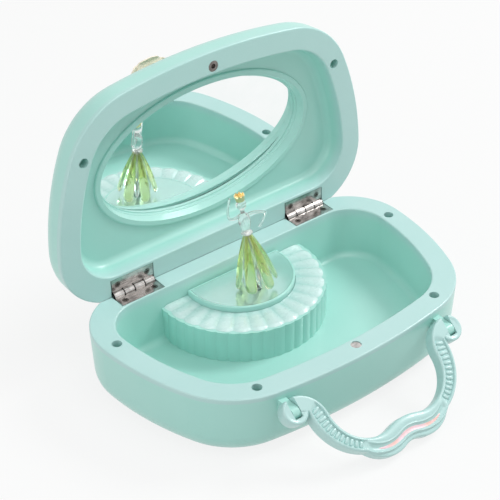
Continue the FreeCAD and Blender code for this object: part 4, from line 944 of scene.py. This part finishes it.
def swept(path, radius, sides=8):
    """A tube about a path; its ring is square to the path's direction at every point."""
    along = unit(np.gradient(path, axis=0))
    side = unit(np.cross(along, (0.13, 1.0, 0.07)))
    other = np.cross(along, side)
    angle = ring_angles(sides)[:, None]
    ring = np.cos(angle) * side[:, None] + np.sin(angle) * other[:, None]
    return path[:, None] + np.reshape(radius, (-1, 1, 1)) * ring


def curve(stops, count):
    """A smooth path through stops: each point is a cubic mix of its four nearest stops."""
    stops = np.array(stops, float)
    padded = np.concatenate([[2 * stops[0] - stops[1]], stops, [2 * stops[-1] - stops[-2]]])
    place = np.linspace(0, len(stops) - 1, count)
    k = np.minimum(place.astype(int), len(stops) - 2)
    t = (place - k)[:, None]
    a, b, c, d = (padded[k + n] for n in range(4))
    first = (c - a) / 2
    second = a - 2.5 * b + 2 * c - d / 2
    third = 1.5 * (b - c) + (d - a) / 2
    return b + t * first + t ** 2 * second + t ** 3 * third


print("dancer leans %.1f degrees" % lean)

# %% [markdown]
# The figure is one clear moulding: a faceted bodice, an egg-shaped head and two thin arms, with a gold
# crown on top. Facets matter more than detail at this size, because each one throws a different light.
# The bodice is a lattice of triangles, each ring turned half a step on from the last.

# %% Bodice, head, arms and crown
BODICE = [(1.75, 31.7), (2.2, 33.0), (2.75, 34.7), (3.1, 36.6), (2.9, 38.4),
          (2.5, 39.9), (1.6, 41.0), (1.1, 42.0), (1.05, 43.6)]  # radius and height of each ring
BODICE_SIDES = 10
HEAD_AT = 46.0
HEAD = np.array([2.6, 2.8, 3.1])
RAISED_ARM = [(-1.6, 0, 40.0), (-4.6, -0.3, 38.8), (-6.9, -0.5, 39.6),
              (-6.8, -0.4, 44.0), (-4.9, -0.2, 50.0)]
BENT_ARM = [(1.6, 0, 40.0), (5.6, -0.3, 41.0), (10.4, -0.6, 40.2),
            (9.0, -0.6, 36.4), (6.6, -0.5, 32.8)]
CROWN_AT = 48.3
CROWN_POINTS = 8


def head_surface(rows=22, cols=32):
    """An egg: a ball drawn in towards the chin, with a small nose and brow as soft bumps in front."""
    polar = np.linspace(0, math.pi, rows)[:, None]
    angle = ring_angles(cols)
    x = np.sin(polar) * np.cos(angle)
    y = np.sin(polar) * np.sin(angle)
    z = np.cos(polar) + 0 * angle
    taper = 1 - 0.14 * smooth_step(0.1, -0.9, z)
    nose = 0.16 * np.exp(-(x / 0.16) ** 2 - ((z + 0.12) / 0.22) ** 2) * (y < 0)
    brow = 0.05 * np.exp(-(x / 0.5) ** 2 - ((z - 0.25) / 0.14) ** 2) * (y < 0)
    egg = np.stack([x * taper, y * taper - nose - brow, z], -1)
    return egg * HEAD + np.array([0, 0, HEAD_AT])


def lattice_faces(rows, cols):
    """Triangles of a closed lattice whose every ring is turned half a step on from the last."""
    a, b, c, d = grid_faces(rows, cols, wrap_cols=True).T
    sides = np.concatenate([np.stack([a, b, d], -1), np.stack([b, c, d], -1)])
    return sides.tolist() + end_faces(rows, cols)


def joined(parts):
    """Several (points, faces) shapes as one: each shape's faces count on from the points before it."""
    starts = np.cumsum([0] + [points.size // 3 for points, _ in parts])
    all_points = np.concatenate([points.reshape(-1, 3) for points, _ in parts])
    all_faces = [[index + start for index in face]
                 for (_, faces), start in zip(parts, starts) for face in faces]
    return all_points, all_faces


def arm_thickness(share):
    """Thinner evenly from the shoulder to the wrist, with a soft swell for the hand."""
    return 0.82 - 0.3 * share + 0.22 * np.exp(-((share - 0.95) / 0.06) ** 2)


def crown_surface(rows=96):
    """A band that flares: its top is a height plus a folded wave, and each ring takes a share of it."""
    angle = ring_angles(rows)[:, None]
    point = np.abs(np.cos(angle * CROWN_POINTS / 2)) ** 1.5
    top = 2.3 + 1.0 * point
    share = np.array([0, 0.5, 1.0, 1.0, 0.5, 0.3])
    radius = np.array([2.15, 2.35, 2.6, 2.2, 1.9, 0.0])
    return np.stack([radius * np.cos(angle), radius * np.sin(angle), CROWN_AT + share * top], -1)


bodice = faceted(BODICE, BODICE_SIDES)
head = head_surface()
parts = [(bodice, lattice_faces(*bodice.shape[:2])),
         (head, grid_faces(*head.shape[:2], wrap_cols=True).tolist())]
for stops in (RAISED_ARM, BENT_ARM):
    path = curve(stops, 33)
    limb = swept(path, arm_thickness(np.linspace(0, 1, len(path))), 7)
    parts.append((limb, tube_faces(*limb.shape[:2])))
figure, figure_faces = joined(parts)
mesh = new_mesh("dancer_figure", stand(figure), figure_faces)
show("dancer_figure", mesh, "dancer", "clear_plastic", "dancer_body", crease=18)
crown = crown_surface()
rows, cols = crown.shape[:2]
crown_foot = list(range(0, rows * cols, cols))
crown_faces = grid_faces(rows, cols, wrap_rows=True).tolist() + [crown_foot]
mesh = new_mesh("dancer_tiara", stand(crown), crown_faces)
show("dancer_tiara", mesh, "dancer", "gold_plate", "dancer_crown", crease=35)

# %% [markdown]
# ## The skirt
# Six long green petals hang from the waist like a bell, with clear crystal drops between them. A petal
# is a grid of the way along by the turn round it. Its cross-section is an oval, flat towards the
# axis, with a soft keel outside, and its width swells and rounds off at the hem. One petal and one drop
# are shaped and then turned round the axis, because all six are alike.

# %% Petals, crystals and waist
PETALS = 6
WAIST_S = 29.6
PETAL_ROOT = 1.3
PETAL_SIZES = (9.7, 0.7, 2.8, 1.1)  # way out and height of the tip, half width, half thickness
CRYSTAL_ROOT = 1.0
CRYSTAL_SIZES = (7.8, 2.4, 1.7)  # way out and height of the tip, fatness
COLLAR = [(0.56, 29.8), (2.7, 29.75), (3.0, 30.2), (2.3, 31.0), (1.95, 31.7), (0.56, 31.7)]
COLLAR_SIDES = 12
FIRST_PETAL = math.degrees(math.atan2(-dancer_axis[1], -dancer_axis[0])) - DANCER_TURN


def ring_of(shape, first):
    """Copies of an upright shape round the axis, from the first angle on."""
    return np.stack([turned(shape, (0, 0, 1), first + 360 * k / PETALS) for k in range(PETALS)])


def skirt_petal(tip_out, tip_s, half_width, half_thick, rows=34, cols=24):
    """Out from the axis goes as the way along to the power 0.8; width as a sine that ends rounded."""
    t = np.linspace(0, 1, rows)[:, None]
    angle = ring_angles(cols)
    out = PETAL_ROOT + (tip_out - PETAL_ROOT) * t ** 0.8
    height = WAIST_S + (tip_s - WAIST_S) * t
    swell = 0.26 + 0.74 * np.sin(math.pi / 2 * np.clip(t / 0.72, 0, 1)) ** 1.3
    swell = swell * np.sqrt(np.clip(1 - np.clip((t - 0.9) / 0.1, 0, 1) ** 2, 0, 1))
    keel = 1 + 0.35 * np.exp(-(angle / 0.45) ** 2) + 0.35 * np.exp(-((angle - 2 * math.pi) / 0.45) ** 2)
    x = out + half_thick * swell * np.cos(angle) * keel
    y = half_width * swell * np.sin(angle)
    return np.stack([x, y, height + 0 * angle], -1), t + 0 * angle


def crystal(tip_out, tip_s, fat):
    """A long drop cut in six, on a line from the waist to its tip."""
    share = np.array([0.0, 0.12, 0.3, 0.48, 0.62, 0.74, 0.88, 1.0])
    cut = np.array([0.25, 0.55, 0.6, 1.0, 0.7, 1.0, 0.8, 0.05])
    shape = faceted(np.stack([cut * fat, 0 * share], -1), 6)
    out = CRYSTAL_ROOT + (tip_out - CRYSTAL_ROOT) * share
    line = np.stack([out, 0 * share, WAIST_S + (tip_s - WAIST_S) * share], -1)
    return shape * np.array([1, 1, 0]) + line[:, None]


petal, way = skirt_petal(*PETAL_SIZES)
petals = ring_of(petal, FIRST_PETAL + 180 / PETALS)
faces = copies(tube_faces(*petal.shape[:2]), petal.size // 3, PETALS)
mesh = new_mesh("skirt_green", stand(petals), faces, along=np.stack([way] * PETALS))
show("skirt_green", mesh, "dancer", "green_plastic", "green_petals")
drop = crystal(*CRYSTAL_SIZES)
drops = ring_of(drop, FIRST_PETAL)
faces = copies(lattice_faces(*drop.shape[:2]), drop.size // 3, PETALS)
mesh = new_mesh("skirt_crystals", stand(drops), faces)
show("skirt_crystals", mesh, "dancer", "clear_plastic", "clear_petals", crease=10)
collar = faceted(COLLAR, COLLAR_SIDES)
mesh = new_mesh("skirt_waist", stand(collar), grid_faces(*collar.shape[:2], True, True))
show("skirt_waist", mesh, "dancer", "clear_plastic", "skirt_collar", crease=10)

# %% [markdown]
# ## The spring under the skirt
# A coil carries the dancer's post and bends when the shutting lid lays the dancer down. A real coil
# bends along its whole length. This one is made straight, on no body, and the points of its foot and
# its top are worked out.

# %% The bending coil
SPRING_TURNS = 6
SPRING_R = 1.1
SPRING_WIRE = 0.25
SPRING_GAP = 0.2
SPRING_FOOT = 0.3
SOCKET_S = 6.6


def coil(rows=240, cols=10):
    """A wire about a helix: round the axis by the turns, and up by one millimetre a turn."""
    turn = np.linspace(0, SPRING_TURNS, rows)
    angle = 2 * math.pi * turn
    start = SOCKET_S - SPRING_GAP - SPRING_WIRE - SPRING_TURNS
    path = np.stack([SPRING_R * np.cos(angle), SPRING_R * np.sin(angle), start + turn], -1)
    along = unit(np.gradient(path, axis=0))
    out = np.stack([np.cos(angle), np.sin(angle), 0 * angle], -1)
    up = np.cross(along, out)
    ring = ring_angles(cols)[:, None]
    return path[:, None] + SPRING_WIRE * (np.cos(ring) * out[:, None] + np.sin(ring) * up[:, None])


wire = coil()
mesh = new_mesh("dancer_coil", stand(wire), tube_faces(*wire.shape[:2]))
spring = show("dancer_coil", mesh, None, "nickel", "dancer_spring")
foot, top = stand(np.array([[0, 0, SPRING_FOOT], [0, 0, SOCKET_S]])) * MM
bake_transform(spring)

# %% [markdown]
# ## The flower on the lid
# Only the upper edge of this cream ornament shows from the front. It is built as a full flower, because
# the lid is seen from behind too: two rounds of cupped petals with rolled lips, and a bud of two more
# about the pearl. One petal is shaped and then turned about the flower's axis, as a mould would be cut.

# %% Cupped petals and the bud
# each round: count, first angle, reach, half width, foot, rise and curl of its petals
OUTER_ROUNDS = [(6, 30, 14.4, 7.6, 1.3, 4.6, 1.3), (6, 0, 11.4, 5.8, 2.6, 4.8, 1.2)]
BUD_ROUNDS = [(5, 12, 8.4, 4.6, 4.0, 5.4, 1.0), (5, 48, 5.6, 3.4, 5.0, 5.6, 0.4)]
STAGGER = 0.35


def cupped_petal(reach, half_width, foot, rise, curl_down, thick=0.9, rows=22, cols=15):
    """Along by across: the outline is an ellipse, the middle rises to a lip and rolls down past it,
    and the sides cup upwards with the square of the way across."""
    t = np.linspace(0, 1, rows)[:, None]
    b = np.linspace(-1, 1, cols)
    half = half_width * np.sqrt(np.clip(1 - (2 * t - 1) ** 2, 0, 1)) ** 0.8
    lip = smooth_step(0.78, 1.0, t)
    arch = rise * np.sin(math.pi / 2 * t) ** 1.4
    cup = 0.9 * b ** 2 * t * (1 - lip)
    height = foot + arch + cup - curl_down * lip ** 2
    x = reach * t + 0 * b
    y = half * b
    top = np.stack([x, y, height + thick / 2], -1)
    under = np.stack([x, y, height - thick / 2], -1)
    way = t + 0 * b
    return skin(top, under), skin(way, way)


def round_of_petals(count, first, *sizes):
    """Petals turned evenly about the flower's axis, every other one a little higher."""
    shape, way = cupped_petal(*sizes)
    ring = [turned(shape, (0, 0, 1), first + 360 * k / count) + np.array([0, 0, STAGGER * (k % 2)])
            for k in range(count)]
    return np.stack(ring), np.stack([way] * count)


pearl = shut_lid(sum(span("flower_pearl")) / 2)
foot_z = min(shut_lid(corner)[2] for corner in span("flower_petals"))
flower_foot = np.array([pearl[0], pearl[1], foot_z])
for name, rounds, node in (("flower_outer", OUTER_ROUNDS, "flower_petals"),
                           ("flower_inner", BUD_ROUNDS, "flower_bud")):
    shapes, ways = map(np.concatenate, zip(*(round_of_petals(*sizes) for sizes in rounds)))
    rows, cols = shapes.shape[1:3]
    faces = copies(tube_faces(rows, cols), rows * cols, len(shapes))
    mesh = new_mesh(name, open_lid(shapes + flower_foot), faces, along=ways)
    show(name, mesh, "lid", "cream_plastic", node)

# %% [markdown]
# ## Floor and light
# The photograph is a plain product shot on white. A large pale floor, a white world and three broad
# lamps give soft light. The floor shows mostly a white of its own to the camera and to reflections, so
# it stays white round the object and still keeps a faint shadow.

# %% Studio
FLOOR_HALF = 6.0
FLOOR_DROP = 0.02
FLOOR_WHITE = 0.84
WORLD_LIGHT = 0.48
LAMPS = [  # name, place, the point it looks at, size and watts
    ("key", (1.1, -0.25, 1.1), (0, 0.02, 0.04), 0.5, 12.5),
    ("overhead", (0.05, -0.4, 1.35), (0, 0.02, 0.04), 0.8, 4.6),
    ("fill", (-1.1, -0.05, 0.45), (0, 0.02, 0.06), 0.7, 3.0),
]


def seen_directly(wire):
    """1 for rays from the camera, from a reflection or through clear plastic, and 0 for the rest."""
    path = wire.node("ShaderNodeLightPath", output="Is Camera Ray")
    rays = path.socket.node.outputs
    glossy = Wire(wire.tree, rays["Is Glossy Ray"])
    through = Wire(wire.tree, rays["Is Transmission Ray"])
    total = path + glossy + through
    return total.node("ShaderNodeClamp", None, {"Value": total})


def studio_floor():
    """A large pale sheet; what is seen of it directly is mixed with a white of its own."""
    corners = np.array([[-1, -1, 0], [1, -1, 0], [1, 1, 0], [-1, 1, 0]]) * FLOOR_HALF / MM
    mesh = new_mesh("floor", corners - np.array([0, 0, FLOOR_DROP]), [(0, 1, 2, 3)])
    floor = bpy.data.objects.new("floor", mesh)
    bpy.context.scene.collection.objects.link(floor)
    material, shader, place = new_finish("pale_floor", Roughness=0.9, Specular_IOR_Level=0.0)
    place.noise(3).tint("#DADCDB", "#DEE0DF").to(shader, "Base Color")
    white = place.node("ShaderNodeEmission")
    sheet = Wire(place.tree, shader.outputs[0])
    share = FLOOR_WHITE * seen_directly(place)
    mixed = place.node("ShaderNodeMixShader", None, {0: share, 1: sheet, 2: white})
    mixed.to(place.tree.nodes["Material Output"], "Surface")
    mesh.materials.append(material)


def studio_world(strength):
    """White all round; what is seen directly is full white, and what lights the object is softer."""
    world = bpy.data.worlds.new("studio")
    bpy.context.scene.world = world
    world.use_nodes = True
    background = world.node_tree.nodes["Background"]
    background.inputs["Color"].default_value = (1, 1, 1, 1)
    seen = seen_directly(Wire(world.node_tree))
    (strength + (1 - strength) * seen).to(background, "Strength")


def lamp(name, place, target, size, watts):
    """A square softbox that looks at a point."""
    light = bpy.data.lights.new(name, "AREA")
    light.size, light.energy = size, watts
    holder = bpy.data.objects.new(name, light)
    bpy.context.scene.collection.objects.link(holder)
    holder.location = place
    holder.rotation_euler = (Vector(target) - Vector(place)).to_track_quat("-Z", "Y").to_euler()


studio_floor()
studio_world(WORLD_LIGHT)
for row in LAMPS:
    lamp(*row)
print("studio ready with", len(LAMPS), "lamps")

# %% [markdown]
# ## Camera
# The camera stands where the photograph was taken from. Its place, roll and lens were fitted to edges
# of the box in the photograph, so that the render can be laid over it.

# %% Camera
AZIMUTH, ELEVATION, ROLL = -38.572, 34.836, -0.317
DISTANCE = 767.05 * MM
SENSOR, FOCAL_LENGTH = 36.0, 113.21
TARGET = Vector((0.0, 29.81, 46.857)) * MM
az, el, roll = (math.radians(a) for a in (AZIMUTH, ELEVATION, ROLL))
back = Vector((math.sin(az) * math.cos(el), -math.cos(az) * math.cos(el), math.sin(el)))
level = Vector((math.cos(az), math.sin(az), 0.0))
upright = back.cross(level)
right = math.cos(roll) * level + math.sin(roll) * upright
lens = bpy.data.cameras.new("camera")
lens.sensor_width, lens.lens = SENSOR, FOCAL_LENGTH
camera = bpy.data.objects.new("camera", lens)
bpy.context.scene.collection.objects.link(camera)
camera.matrix_world = Matrix.Translation(TARGET + back * DISTANCE) @ Matrix(
    (right, back.cross(right), back)).transposed().to_4x4()
bpy.context.scene.camera = camera
bpy.context.scene.view_settings.view_transform = "Standard"
print("camera at", [round(c, 3) for c in camera.location])
